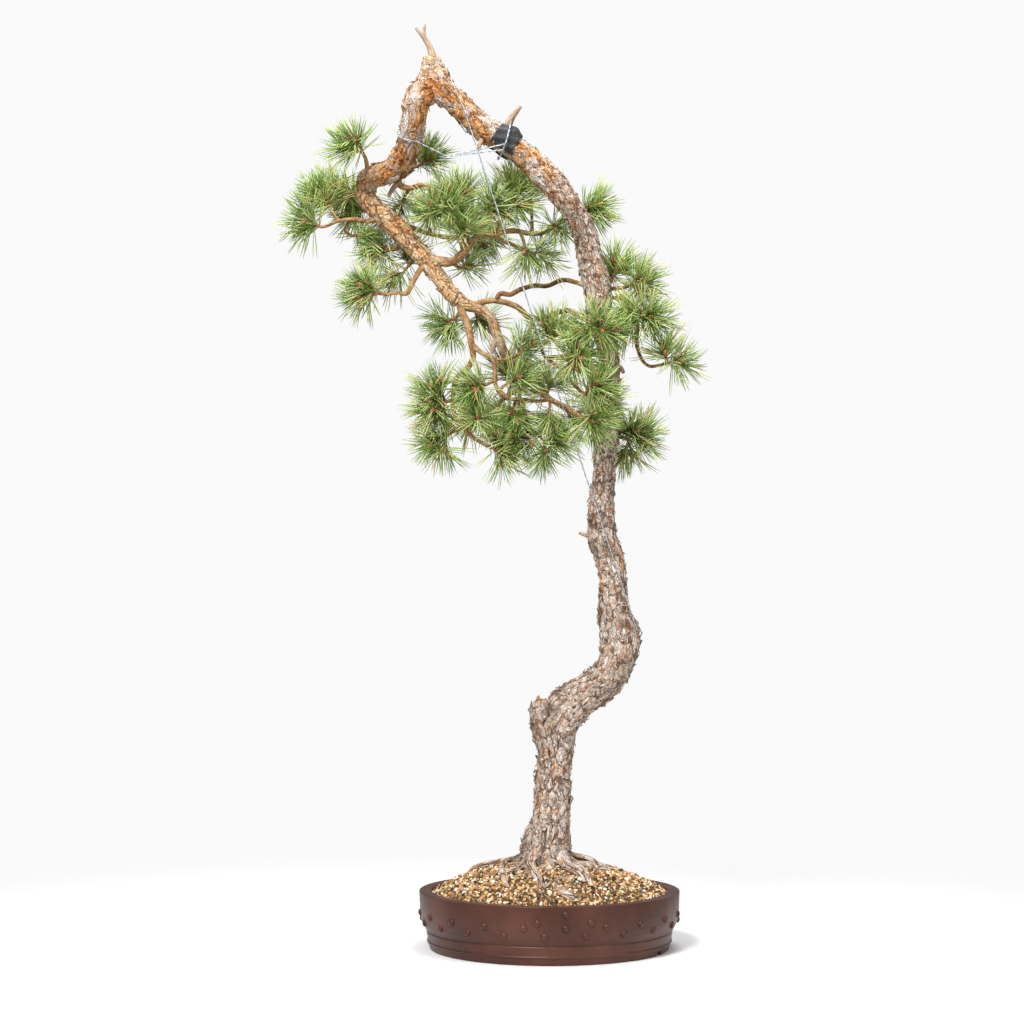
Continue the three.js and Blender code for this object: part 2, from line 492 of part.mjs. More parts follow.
// Round studs stand in a zigzag round the band, with three more over the front and the back.
const STUD_RADIUS = 3.6;
const STUD_HEIGHT = 5;
const STUD_SUNK = 2.9;
const STUDS_IN_ROW = 20;
const STUD_TURN = 360 / STUDS_IN_ROW;
const studs = [];
for (let i = 0; i < STUDS_IN_ROW; i++) {
  studs.push([i * STUD_TURN - 2.9, 28.5], [i * STUD_TURN + 6.1, 36.5]);
}
for (const facing of [0, 180]) {
  studs.push([facing - 6, 41.5], [facing + 17, 41.5], [facing + 6.1, 49.5]);
}

// A stud points straight out of the wall, which leans in a little below the middle of the band.
function studAt([degrees, height]) {
  const share = (height - BAND_FOOT_HEIGHT) / (POT_HEIGHT - BAND_FOOT_HEIGHT);
  const wallRadius = THREE.MathUtils.lerp(BAND_FOOT_RADIUS, POT_RADIUS, share);
  const stud = new THREE.ConeGeometry(STUD_RADIUS, STUD_HEIGHT, 4).rotateX(Math.PI);
  stud.translate(0, STUD_SUNK - STUD_HEIGHT / 2 - wallRadius, height);
  return solidFrom(stud.rotateZ(THREE.MathUtils.degToRad(degrees)));
}

// Two arched notches let water out from under the foot ring, and the drain hole is in the middle.
const NOTCH_DEGREES = 62.5;
const NOTCH_RADIUS = 4.6;
const DRAIN_RADIUS = 15;
const notch = new THREE.CylinderGeometry(NOTCH_RADIUS, NOTCH_RADIUS, 2 * POT_RADIUS, 8);
notch.rotateZ(THREE.MathUtils.degToRad(NOTCH_DEGREES));
const drainHole = new THREE.CylinderGeometry(DRAIN_RADIUS, DRAIN_RADIUS, POT_HEIGHT, 16);
drainHole.rotateX(Math.PI / 2);
const pot = wasm.Manifold.union([potBody, ...studs.map(studAt)])
  .subtract(solidFrom(notch))
  .subtract(solidFrom(drainHole))
  .translate([POT_CENTRE_X, 0, 0]);
addNode('pot', pot.simplify(0.02), STONEWARE);

// A plastic mesh keeps the grit in over the drain hole.
const MESH_SIZE = 44;
const MESH_THICKNESS = 1;
const MESH_HOLES = 3;
const MESH_HOLE_WIDTH = 5;
const MESH_PITCH = 8;
const meshPlace = [POT_CENTRE_X, 0, POT_FLOOR_TOP + CLEARANCE + MESH_THICKNESS / 2];
const meshGaps = [];
for (let i = 0; i < MESH_HOLES ** 2; i++) {
  const gap = new THREE.BoxGeometry(MESH_HOLE_WIDTH, MESH_HOLE_WIDTH, 4 * MESH_THICKNESS);
  gap.translate((i % MESH_HOLES - 1) * MESH_PITCH, (Math.floor(i / MESH_HOLES) - 1) * MESH_PITCH, 0);
  meshGaps.push(solidFrom(gap));
}
const meshPlate = solidFrom(new THREE.BoxGeometry(MESH_SIZE, MESH_SIZE, MESH_THICKNESS));
addNode('drain_mesh', meshPlate.subtract(wasm.Manifold.union(meshGaps)).translate(meshPlace), PLASTIC);

// Rubber pad: a smooth sleeve round the upper trunk, under the wire, open for the snag behind it.
const PAD_FOOT = [26, 796, -6];
const PAD_TOP = [4, 812, -7];
const padFoot = ringNear('trunk', PAD_FOOT);
const padTop = ringNear('trunk', PAD_TOP);
const padMiddle = stems.trunk.slice(stems.trunk.indexOf(padFoot) + 1, stems.trunk.indexOf(padTop));
const padRings = [
  { ...padFoot, centre: placed(PAD_FOOT) }, ...padMiddle, { ...padTop, centre: placed(PAD_TOP) },
];
const padOuter = tube(padRings, PAD_THICKNESS + CLEARANCE, (ring) => ring.radius);
addNode('rubber_pad', padOuter.subtract(woodAndGap), RUBBER);

function ringNear(stem, place) {
  const point = placed(place);
  return stems[stem].reduce((best, ring) => (
    ring.centre.distanceTo(point) < best.centre.distanceTo(point) ? ring : best
  ));
}

// Guy wires: aluminium, looped round the wood and drawn tight between the loops.
const WIRE_SIDES = 3;
const LOOP_POINTS = 10;
const TWIST_RADIUS = WIRE_RADIUS * 1.2;

// A closed ring of wire through the points, round a middle
function wireRing(points, middle) {
  const corners = [];
  const faces = [];
  points.forEach((point, i) => {
    const heading = points[(i + 1) % points.length].clone().sub(points.at(i - 1)).normalize();
    const outward = point.clone().sub(middle);
    outward.addScaledVector(heading, -outward.dot(heading)).normalize();
    const over = heading.cross(outward);
    for (let k = 0; k < WIRE_SIDES; k++) {
      const turn = (k / WIRE_SIDES) * Math.PI * 2;
      const corner = point.clone().addScaledVector(outward, WIRE_RADIUS * Math.cos(turn));
      corners.push(corner.addScaledVector(over, WIRE_RADIUS * Math.sin(turn)));
      const nextPoint = ((i + 1) % points.length) * WIRE_SIDES;
      const [here, beside] = [i * WIRE_SIDES + k, i * WIRE_SIDES + (k + 1) % WIRE_SIDES];
      const [there, across] = [nextPoint + k, nextPoint + (k + 1) % WIRE_SIDES];
      faces.push(here, beside, across, here, across, there);
    }
  });
  return solidFrom(new THREE.BufferGeometry().setFromPoints(corners).setIndex(faces));
}

// A loop that lies on the bark all round, or on the pad. Its points can be read back.
const SEAT = CLEARANCE + 0.6 * WIRE_RADIUS;

function wireLoop(ring, surface) {
  const points = [];
  for (let i = 0; i < LOOP_POINTS; i++) {
    const angle = (i / LOOP_POINTS) * Math.PI * 2;
    points.push(ringPoint(ring, angle, surface(ring, angle) + SEAT));
  }
  return { points, solid: wireRing(points, ring.centre) };
}

function rodBetween(start, end, radius) {
  const axis = end.clone().sub(start);
  const rod = new THREE.CylinderGeometry(radius, radius, axis.length() + radius, WIRE_SIDES);
  rod.translate(0, axis.length() / 2, 0);
  const turn = new THREE.Quaternion().setFromUnitVectors(new THREE.Vector3(0, 1, 0), axis.normalize());
  rod.applyQuaternion(turn);
  rods.push({ a: start, b: end, ra: radius, rb: radius, owner: 'wire' });
  return solidFrom(rod.translate(start.x, start.y, start.z));
}

function nearestPoint(points, place) {
  const point = placed(place);
  return points.reduce((best, other) => (
    other.distanceTo(point) < best.distanceTo(point) ? other : best
  ));
}

// A point over the trunk's bark, at a place counted in rings and an angle round from the front
function trunkPoint(position, degrees, lift) {
  const angle = THREE.MathUtils.degToRad(degrees);
  const low = Math.floor(position);
  const [a, b] = [stems.trunk[low], stems.trunk[low + 1]].map((ring) => (
    ringPoint(ring, angle, barkRadius(ring, angle) + lift)
  ));
  return a.lerp(b, position - low);
}

// The long wire hangs from a loop that slants over the crown, and it ends in an eye round a stub
// behind the lower bend of the trunk.
const CROWN_SLANT = 1.5;
const CROWN_LIFT = SEAT + 0.7;
const HOOK_ANGLES = [26, 58, 89, 119, 148];
const HOOK_LIFT = SEAT + 0.9;
const HOOK_FALL = 0.12;
const EYE_RADIUS = 6.2;
const EYE_POINTS = 6;
const crownCentre = ringNear('trunk', [-36, 846, -9]);
const crownPoints = [];
for (let i = 0; i < LOOP_POINTS; i++) {
  const degrees = i * (360 / LOOP_POINTS);
  const slant = CROWN_SLANT * Math.sin(THREE.MathUtils.degToRad(degrees));
  crownPoints.push(trunkPoint(stems.trunk.indexOf(crownCentre) + slant, degrees, CROWN_LIFT));
}
const bendPlace = stems.trunk.indexOf(ringNear('trunk', [129, 312, 3]));
const hook = HOOK_ANGLES.map((degrees, i) => trunkPoint(bendPlace - HOOK_FALL * i, degrees, HOOK_LIFT));
const eyeCentre = placed([133, 303.5, 33]);
const eye = [];
for (let i = 0; i < EYE_POINTS; i++) {
  const turn = (i / EYE_POINTS) * Math.PI * 2;
  const out = new THREE.Vector3(Math.cos(turn), 0, Math.sin(turn));
  eye.push(eyeCentre.clone().addScaledVector(out, EYE_RADIUS));
}
hook.push(eye[0]);
const hookRings = ringsOf(hook, hook.map(() => WIRE_RADIUS), 2 * STEM_STEP);
const spanTop = nearestPoint(crownPoints, [-27, 830, -22]);
addNode('guy_wire_long', wasm.Manifold.union([
  wireRing(crownPoints, crownCentre.centre),
  rodBetween(spanTop, hook[0], WIRE_RADIUS),
  tube(hookRings),
  wireRing(eye, eyeCentre),
]), ALUMINIUM);

const padLoop = wireLoop(padMiddle[0], (ring) => ring.radius + PAD_THICKNESS + CLEARANCE);
const limbLoop = wireLoop(ringNear('limb_top', [-84, 796, -26]), barkRadius);
const twistStart = placed([-43, 790, -9]);
const twistEnd = nearestPoint(limbLoop.points, [-70, 790, -16]);
const strandEnds = [[4, 806, -24], [18, 796, -24]].map((place) => nearestPoint(padLoop.points, place));
addNode('guy_wire_loop', wasm.Manifold.union([
  padLoop.solid, limbLoop.solid, rodBetween(twistStart, twistEnd, TWIST_RADIUS),
  ...strandEnds.map((end) => rodBetween(end, twistStart, WIRE_RADIUS)),
]), ALUMINIUM);

// Sprays: needles round each shoot, each one moved until it misses every other piece.

function isOffShoots(root, shoot) {
  const others = rods.filter((rod) => rod.shoot && rod.shoot !== shoot);
  return others.every((other) => gapBetween(root, other) > CLEARANCE);
}

const SHOOT_SIDES = 4;
const SHOOT_RADIUS = 1.5;
const SIDE_SHOOT_FOOT_RADIUS = 0.8;
const SIDE_SHOOT_START = 2.5;
const ROW_HEIGHT = 2.4;
const BUD_LENGTH = 2;
const LEAN_AT_FOOT = 1.35;
const LEAN_AT_TIP = 0.4;
const NEEDLE_TRIES = 24;
// A needle's three-sided root reaches this far from its middle, and needles of one spray may
// come this near each other, because their roots are narrower than that between the corners.
const NEEDLE_ROOT_REACH = 1.35;
const SISTER_GAP = -0.45;

// How near two straight rods come, less their radii at the nearest points.
function gapBetween(p, q) {
  const u = p.b.clone().sub(p.a);
  const v = q.b.clone().sub(q.a);
  const w = p.a.clone().sub(q.a);
  const [uu, uv, vv, uw, vw] = [u.dot(u), u.dot(v), v.dot(v), u.dot(w), v.dot(w)];
  const spread = uu * vv - uv * uv;
  const clamp = (value) => Math.min(1, Math.max(0, value));
  let s = spread > 1e-9 ? clamp((uv * vw - vv * uw) / spread) : 0;
  const t = clamp((uv * s + vw) / vv);
  s = clamp((uv * t - uw) / uu);
  const apart = w.addScaledVector(u, s).addScaledVector(v, -t).length();
  return apart - (p.ra + (p.rb - p.ra) * s) - (q.ra + (q.rb - q.ra) * t);
}

function isClear(rod, owner, shoot) {
  const middle = rod.a.clone().add(rod.b).multiplyScalar(0.5);
  const reach = rod.a.distanceTo(rod.b) / 2 + 8;
  for (const other of rods) {
    const half = other.half ??= other.a.distanceTo(other.b) / 2 + Math.max(other.ra, other.rb);
    const centre = other.centre ??= other.a.clone().add(other.b).multiplyScalar(0.5);
    if (centre.distanceTo(middle) > reach + half) continue;
    if (other.shoot === shoot) continue;
    if (gapBetween(rod, other) < (other.owner === owner ? SISTER_GAP : CLEARANCE)) return false;
  }
  return true;
}

for (const spray of sprays) {
  const start = spray.end.centre.clone().addScaledVector(spray.heading, CLEARANCE);
  const fork = start.clone().addScaledVector(spray.heading, SIDE_SHOOT_START);
  spray.shoots = spray.tips.map((tip, i) => (
    i ? { start: fork, tip, footRadius: SIDE_SHOOT_FOOT_RADIUS } : { start, tip, footRadius: SHOOT_RADIUS }
  ));
  for (const shoot of spray.shoots) {
    const [ra, rb, owner] = [SHOOT_RADIUS, SHOOT_RADIUS, spray.name];
    rods.push({ a: shoot.start, b: shoot.tip, ra, rb, owner, shoot });
  }
}

// The tip of the needle that leans out of a shoot at a foot, or nothing where none has room.
function needleTip(foot, axis, out, lean, owner, shoot) {
  const over = axis.clone().cross(out);
  for (let attempt = 0; attempt < NEEDLE_TRIES; attempt++) {
    const loose = 0.06 + attempt * 0.03;
    const turned = out.clone().applyAxisAngle(axis, between(-loose, loose));
    const tilt = lean + between(-loose, loose);
    const heading = axis.clone().multiplyScalar(Math.cos(tilt)).addScaledVector(turned, Math.sin(tilt));
    heading.addScaledVector(over, between(-loose, loose) * 0.5).normalize();
    const tip = foot.clone().addScaledVector(heading, NEEDLE_LENGTH * between(0.85, 1.12));
    const rod = { a: foot.clone().lerp(tip, 0.08), b: tip, ra: NEEDLE_ROOT_REACH, rb: 0, owner };
    const root = { a: foot, b: rod.a, ra: NEEDLE_ROOT_REACH, rb: NEEDLE_ROOT_REACH };
    if (!isClear(rod, owner, shoot) || !isOffShoots(root, shoot)) continue;
    rods.push(rod);
    return tip;
  }
  return null;
}

// A shoot is a slim four-sided stalk that ends in a bud. Its rings are turned by half a side from
// one to the next, and a three-sided needle is raised from every triangle between them.
function shootSolid(spray, shoot, rows) {
  const axis = shoot.tip.clone().sub(shoot.start);
  const length = axis.length();
  axis.normalize();
  const across = new THREE.Vector3(0.31, 0.2, 0.93).cross(axis).normalize();
  const turnOf = (row, side) => ((side + row / 2) / SHOOT_SIDES) * Math.PI * 2;
  const outward = (angle) => across.clone().applyAxisAngle(axis, angle);
  const needleZone = length - BUD_LENGTH - rows * ROW_HEIGHT;
  const vertices = [];
  for (let row = -1; row <= rows; row++) {
    const distance = row < 0 ? 0 : needleZone + row * ROW_HEIGHT;
    const radius = row < 0 ? shoot.footRadius : SHOOT_RADIUS;
    for (let side = 0; side < SHOOT_SIDES; side++) {
      const base = shoot.start.clone().addScaledVector(axis, distance);
      vertices.push(base.addScaledVector(outward(turnOf(row, side)), radius));
    }
  }
  vertices.push(shoot.start, shoot.tip);
  const [footCentre, budTip] = [vertices.length - 2, vertices.length - 1];
  const faces = [];
  for (let row = 0; row <= rows; row++) {
    for (let side = 0; side < SHOOT_SIDES; side++) {
      const next = (side + 1) % SHOOT_SIDES;
      const low = [row * SHOOT_SIDES + side, row * SHOOT_SIDES + next];
      const high = [low[0] + SHOOT_SIDES, low[1] + SHOOT_SIDES];
      for (const face of [[low[0], low[1], high[0]], [low[1], high[1], high[0]]]) {
        const foot = new THREE.Vector3();
        face.forEach((corner) => foot.addScaledVector(vertices[corner], 1 / 3));
        const height = foot.clone().sub(shoot.start).dot(axis);
        const out = foot.clone().sub(shoot.start).addScaledVector(axis, -height).normalize();
        const share = (height - needleZone) / (rows * ROW_HEIGHT);
        const lean = THREE.MathUtils.lerp(LEAN_AT_FOOT, LEAN_AT_TIP, share);
        const tip = row > 0 && needleTip(foot, axis, out, lean, spray.name, shoot);
        if (tip) {
          vertices.push(tip);
          face.forEach((corner, i) => faces.push([corner, face[(i + 1) % 3], vertices.length - 1]));
        } else {
          faces.push(face);
        }
      }
    }
  }
  const last = (rows + 1) * SHOOT_SIDES;
  for (let side = 0; side < SHOOT_SIDES; side++) {
    const next = (side + 1) % SHOOT_SIDES;
    faces.push([footCentre, next, side], [budTip, last + side, last + next]);
  }
  const geometry = new THREE.BufferGeometry().setFromPoints(vertices);
  geometry.setIndex(faces.flat());
  return solidFrom(geometry);
}

for (const [i, spray] of sprays.entries()) {
  seed = SPRAY_SEED * (i + 1);
  const rows = spray.shoots.length > 1 ? 2 : 3;
  const shoots = spray.shoots.map((shoot) => shootSolid(spray, shoot, rows));
  addNode(spray.name, wasm.Manifold.union(shoots).simplify(0.01), NEEDLE_GREEN);
}

export default bonsai;
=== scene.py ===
import json
import math
import random

import bmesh
import bpy
from mathutils import Matrix, Vector

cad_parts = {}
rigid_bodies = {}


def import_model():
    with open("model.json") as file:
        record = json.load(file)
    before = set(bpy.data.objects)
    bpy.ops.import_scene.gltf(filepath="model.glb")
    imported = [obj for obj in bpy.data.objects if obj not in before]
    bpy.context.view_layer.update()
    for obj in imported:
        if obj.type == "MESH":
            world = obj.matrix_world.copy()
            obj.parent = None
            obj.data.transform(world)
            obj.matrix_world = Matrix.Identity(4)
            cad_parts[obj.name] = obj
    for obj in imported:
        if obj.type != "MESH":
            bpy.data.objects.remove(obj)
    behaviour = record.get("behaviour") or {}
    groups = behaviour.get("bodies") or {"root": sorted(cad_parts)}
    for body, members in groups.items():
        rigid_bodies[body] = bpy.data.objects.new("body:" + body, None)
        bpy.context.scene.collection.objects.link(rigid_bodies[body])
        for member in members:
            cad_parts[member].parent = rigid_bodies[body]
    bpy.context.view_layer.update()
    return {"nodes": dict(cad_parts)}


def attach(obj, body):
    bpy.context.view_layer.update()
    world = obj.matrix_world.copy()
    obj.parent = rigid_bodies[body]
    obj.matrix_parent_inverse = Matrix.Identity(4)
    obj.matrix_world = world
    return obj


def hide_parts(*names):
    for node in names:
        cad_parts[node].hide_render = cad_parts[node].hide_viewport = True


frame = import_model()

# The pot: a low round tray of iron-rich stoneware, turned on a wheel with a foot ring, a ledge and
# a groove under a wide band. It is fired without a glaze, so that the bare brown clay shows, fine
# in grain and a little satin where the tool has pressed it.
MM = 0.001
POT_CENTRE = Vector((59.2, 0, 0)) * MM
POT_RADIUS = 129.5
POT_HEIGHT = 57
POT_WALL = 12.2
POT_FLOOR_TOP = 17.4
DRAIN_HOLE_RADIUS = 15
POT_TURN_STEPS = 192
POT_CORNERS = [
    (DRAIN_HOLE_RADIUS, 9), (101, 9), (102, 0), (118.8, 0), (120.6, 6.9), (121.9, 7.7), (121.8, 8.6),
    (121, 9.3), (122.4, 17.4), (121.6, 18.4), (122.9, 19.6), (126.2, 25), (128, 31), (128.9, 40),
    (POT_RADIUS, POT_HEIGHT),
    (POT_RADIUS - POT_WALL, POT_HEIGHT), (POT_RADIUS - POT_WALL, POT_FLOOR_TOP),
    (DRAIN_HOLE_RADIUS, POT_FLOOR_TOP),
]
CORNER_ROUNDING = 0.8
CORNER_PIECES = 4
NOTCH_DEGREES = 62.5
NOTCH_RADIUS = 4.6


def set_inputs(node, inputs):
    """Sets or links a node's inputs by name or number. A node stands for its own first output."""
    for key, value in inputs.items():
        if isinstance(value, bpy.types.Node):
            value = value.outputs[0]
        if isinstance(value, bpy.types.NodeSocket):
            node.id_data.links.new(value, node.inputs[key])
        else:
            node.inputs[key].default_value = value


def add(tree, kind, inputs=None, **settings):
    """Adds a node with its settings, and sets or links its inputs."""
    made = tree.nodes.new(kind)
    for name, value in settings.items():
        setattr(made, name, value)
    set_inputs(made, inputs or {})
    return made


def linear(hex_colour):
    """An sRGB colour such as #6d4a40 as linear red, green, blue and alpha."""
    channels = [int(hex_colour[i:i + 2], 16) / 255 for i in (1, 3, 5)]
    return [c / 12.92 if c <= 0.04045 else ((c + 0.055) / 1.055) ** 2.4 for c in channels] + [1]


def set_stops(ramp, stops):
    """Gives a colour ramp its stops, each a place from 0 to 1 and a hex colour."""
    elements = ramp.color_ramp.elements
    while len(elements) < len(stops):
        elements.new(1)
    for element, (place, hex_colour) in zip(elements, stops):
        element.position = place
        element.color = linear(hex_colour)


def new_material(name):
    """An empty material with a shader joined to its output, and its node tree."""
    material = bpy.data.materials.new(name)
    material.use_nodes = True
    tree = material.node_tree
    tree.nodes.clear()
    shader = add(tree, "ShaderNodeBsdfPrincipled")
    add(tree, "ShaderNodeOutputMaterial", {"Surface": shader.outputs["BSDF"]})
    return material, tree, shader


def new_object(name, mesh):
    """An object for a mesh, at the origin of the scene."""
    made = bpy.data.objects.new(name, mesh)
    bpy.context.scene.collection.objects.link(made)
    return made


def mesh_of(name, points, edges=(), faces=()):
    """A mesh from its points, edges and faces."""
    mesh = bpy.data.meshes.new(name)
    mesh.from_pydata([tuple(p) for p in points], edges, faces)
    return mesh


def plain_piece(shaped, name):
    """The plain mesh that an object's modifiers make of it. The object itself is removed."""
    bpy.context.view_layer.update()
    depsgraph = bpy.context.evaluated_depsgraph_get()
    mesh = bpy.data.meshes.new_from_object(shaped.evaluated_get(depsgraph), depsgraph=depsgraph)
    bpy.data.objects.remove(shaped)
    return new_object(name, mesh)


def rounded(corners, reach, pieces):
    """The outline through the corners, each cut back by a reach and bridged by a curve."""
    outline = [corners[0]]
    for before, corner, after in zip(corners, corners[1:], corners[2:]):
        b, c, a = Vector(before), Vector(corner), Vector(after)
        start = c + (b - c).normalized() * min(reach, (b - c).length * 0.45)
        end = c + (a - c).normalized() * min(reach, (a - c).length * 0.45)
        for i in range(pieces + 1):
            t = i / pieces
            outline.append(start * (1 - t) ** 2 + c * 2 * t * (1 - t) + end * t ** 2)
    return outline + [corners[-1]]


pot_outline = rounded(POT_CORNERS, CORNER_ROUNDING, CORNER_PIECES)
pot_bmesh = bmesh.new()
pot_ring = [pot_bmesh.verts.new(Vector((p[0], 0, p[1])) * MM) for p in pot_outline]
pot_edges = [pot_bmesh.edges.new(pair) for pair in zip(pot_ring, pot_ring[1:] + pot_ring[:1])]
bmesh.ops.spin(
    pot_bmesh, geom=pot_ring + pot_edges, cent=(0, 0, 0), axis=(0, 0, 1), angle=math.tau,
    steps=POT_TURN_STEPS, use_duplicate=False,
)
bmesh.ops.remove_doubles(pot_bmesh, verts=pot_bmesh.verts, dist=0.01 * MM)
bmesh.ops.recalc_face_normals(pot_bmesh, faces=pot_bmesh.faces)
bmesh.ops.translate(pot_bmesh, verts=pot_bmesh.verts, vec=POT_CENTRE)
pot_mesh = bpy.data.meshes.new("pot_turned")
pot_bmesh.to_mesh(pot_mesh)
pot_bmesh.free()

notch_bmesh = bmesh.new()
bmesh.ops.create_cone(
    notch_bmesh, cap_ends=True, segments=32, radius1=NOTCH_RADIUS * MM, radius2=NOTCH_RADIUS * MM,
    depth=2.2 * POT_RADIUS * MM,
)
notch_turn = Matrix.Rotation(math.radians(NOTCH_DEGREES), 4, "Z") @ Matrix.Rotation(math.pi / 2, 4, "X")
bmesh.ops.transform(notch_bmesh, matrix=notch_turn, verts=notch_bmesh.verts)
bmesh.ops.translate(notch_bmesh, verts=notch_bmesh.verts, vec=POT_CENTRE)
notch_mesh = bpy.data.meshes.new("notch_cutter")
notch_bmesh.to_mesh(notch_mesh)
notch_bmesh.free()
notch_cutter = new_object("notch_cutter", notch_mesh)
turned_pot = new_object("pot_turned", pot_mesh)
notch_cut = turned_pot.modifiers.new("notches", "BOOLEAN")
notch_cut.object = notch_cutter
notch_cut.solver = "EXACT"
pot = plain_piece(turned_pot, "bonsai_pot")
bpy.data.objects.remove(notch_cutter)
for polygon in pot.data.polygons:
    polygon.use_smooth = True
pot.data.set_sharp_from_angle(angle=math.radians(40))

# Grit in the clay is about 0.4 mm, drawn at 0.9 mm so that it shows. The wheel leaves faint rings,
# and the kiln clouds of darker and lighter brown, about 45 mm across.
CLAY_GRIT = 0.9
TURNING_RINGS = 3.2
FIRING_CLOUDS_PER_M = 22.0
stoneware, tree, shader = new_material("unglazed_iron_stoneware")
place = add(tree, "ShaderNodeTexCoord").outputs["Object"]
clouds = add(tree, "ShaderNodeTexNoise", {"Vector": place, "Scale": FIRING_CLOUDS_PER_M, "Detail": 5.0})
grit = add(tree, "ShaderNodeTexNoise", {"Vector": place, "Scale": 1 / (CLAY_GRIT * MM), "Detail": 3.0})
clay = add(tree, "ShaderNodeValToRGB", {"Fac": clouds})
set_stops(clay, [(0.3, "#3c1f15"), (0.5, "#48261a"), (0.72, "#573123")])
speckle = add(tree, "ShaderNodeValToRGB", {"Fac": grit})
set_stops(speckle, [(0.26, "#9d9490"), (0.42, "#ffffff"), (0.74, "#ffffff")])
clay_colour = add(
    tree, "ShaderNodeMix", {0: 1.0, 6: clay, 7: speckle}, data_type="RGBA", blend_type="MULTIPLY",
)
rings = add(
    tree, "ShaderNodeTexWave", {"Vector": place, "Scale": 0.31 / (TURNING_RINGS * MM), "Distortion": 1.2},
    bands_direction="Z",
)
relief = add(tree, "ShaderNodeMix", {0: 0.2, 2: grit, 3: rings.outputs["Fac"]}, data_type="FLOAT")
bump = add(tree, "ShaderNodeBump", {"Height": relief, "Strength": 0.35, "Distance": 0.25 * MM})
set_inputs(
    shader,
    {"Base Color": clay_colour.outputs[2], "Normal": bump, "Roughness": 0.4, "Specular IOR Level": 0.32},
)
pot.data.materials.clear()
pot.data.materials.append(stoneware)
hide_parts("pot")
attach(pot, "root")

# The studs: small balls of the same clay, pressed on in a zigzag round the band, with three more
# over the front and the back. Each one is flattened to a low dome.
STUD_RADIUS = 3.6
STUD_HEIGHT = 2.3
STUDS_IN_ROW = 20
STUD_TURN = 360 / STUDS_IN_ROW
# The turn of each row's first stud, in degrees, and the row's height
STUD_ROWS = [(-2.9, 28.5), (6.1, 36.5)]
stud_places = [
    (i * STUD_TURN + first_turn, height) for first_turn, height in STUD_ROWS for i in range(STUDS_IN_ROW)
]
for facing in (0, 180):
    stud_places += [(facing - 6, 41.5), (facing + 17, 41.5), (facing + 6.1, 49.5)]
stud_points = []
for degrees, height in stud_places:
    turn = math.radians(degrees)
    wall = next(
        low[0] + (high[0] - low[0]) * (height - low[1]) / (high[1] - low[1])
        for low, high in zip(POT_CORNERS, POT_CORNERS[1:])
        if low[0] > POT_RADIUS - POT_WALL and low[1] <= height < high[1]
    )
    stud_points.append(Vector((wall * math.sin(turn), -wall * math.cos(turn), height)) * MM + POT_CENTRE)


def new_shape(name, *sockets):
    """A Geometry Nodes tree with a geometry in and out, and a named input for each socket."""
    tree = bpy.data.node_groups.new(name, "GeometryNodeTree")
    tree.interface.new_socket("Geometry", in_out="INPUT", socket_type="NodeSocketGeometry")
    tree.interface.new_socket("Geometry", in_out="OUTPUT", socket_type="NodeSocketGeometry")
    for label, kind in sockets:
        tree.interface.new_socket(label, in_out="INPUT", socket_type=kind)
    return tree, add(tree, "NodeGroupInput").outputs


def shape_with(piece, tree, **values):
    """Puts a Geometry Nodes tree on a piece, and sets its inputs by their identifiers."""
    modifier = piece.modifiers.new(tree.name, "NODES")
    modifier.node_group = tree
    for item in tree.interface.items_tree:
        if item.in_out == "INPUT" and item.name in values:
            modifier[item.identifier] = values[item.name]


def end_shape(tree, shaped, finish):
    """Ends a Geometry Nodes tree: what was shaped is made real, smooth, and clad in its finish."""
    solid = add(tree, "GeometryNodeRealizeInstances", {0: shaped})
    smooth = add(tree, "GeometryNodeSetShadeSmooth", {0: solid})
    clad = add(tree, "GeometryNodeSetMaterial", {0: smooth, "Material": finish})
    add(tree, "NodeGroupOutput", {0: clad})


tree, given = new_shape(
    "pressed_studs", ("Radius", "NodeSocketFloat"), ("Height", "NodeSocketFloat"),
    ("Axis", "NodeSocketVector"), ("Clay", "NodeSocketMaterial"),
)
ball = add(tree, "GeometryNodeMeshUVSphere", {"Segments": 20, "Rings": 12, "Radius": 1.0})
outward = add(
    tree, "ShaderNodeVectorMath", {0: add(tree, "GeometryNodeInputPosition"), 1: given["Axis"]},
    operation="SUBTRACT",
)
level = add(tree, "ShaderNodeVectorMath", {0: outward, 1: (1, 1, 0)}, operation="MULTIPLY")
facing = add(tree, "FunctionNodeAlignRotationToVector", {"Vector": level}, axis="Z")
size = add(tree, "ShaderNodeCombineXYZ", {0: given["Radius"], 1: given["Radius"], 2: given["Height"]})
pressed = add(
    tree, "GeometryNodeInstanceOnPoints",
    {"Points": given["Geometry"], "Instance": ball.outputs["Mesh"], "Rotation": facing, "Scale": size},
)
end_shape(tree, pressed, given["Clay"])
stud_cloud = new_object("stud_cloud", mesh_of("stud_cloud", stud_points))
shape_with(
    stud_cloud, tree, Radius=STUD_RADIUS * MM, Height=STUD_HEIGHT * MM, Axis=POT_CENTRE, Clay=stoneware,
)
studs = plain_piece(stud_cloud, "pot_studs")
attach(studs, "root")

# The drain mesh: a square of moulded polyethylene net, green-black and dull. It lies over the drain
# hole, hidden by the soil, and keeps the grit in.
SCUFFS_PER_M = 400.0
polyethylene, tree, shader = new_material("moulded_polyethylene_net")
place = add(tree, "ShaderNodeTexCoord").outputs["Object"]
scuffs = add(tree, "ShaderNodeTexNoise", {"Vector": place, "Scale": SCUFFS_PER_M})
shade = add(tree, "ShaderNodeValToRGB", {"Fac": scuffs})
set_stops(shade, [(0.3, "#232622"), (0.7, "#343833")])
set_inputs(shader, {"Base Color": shade, "Roughness": 0.55})
drain_mesh = frame["nodes"]["drain_mesh"]
drain_mesh.data.materials.clear()
drain_mesh.data.materials.append(polyethylene)

# The old wood: the trunk, the fallen limb and the branches, covered in the pine's scaly bark. It is
# thick, grey and plated low down, and thin, orange and papery on the upper arch and the limb.

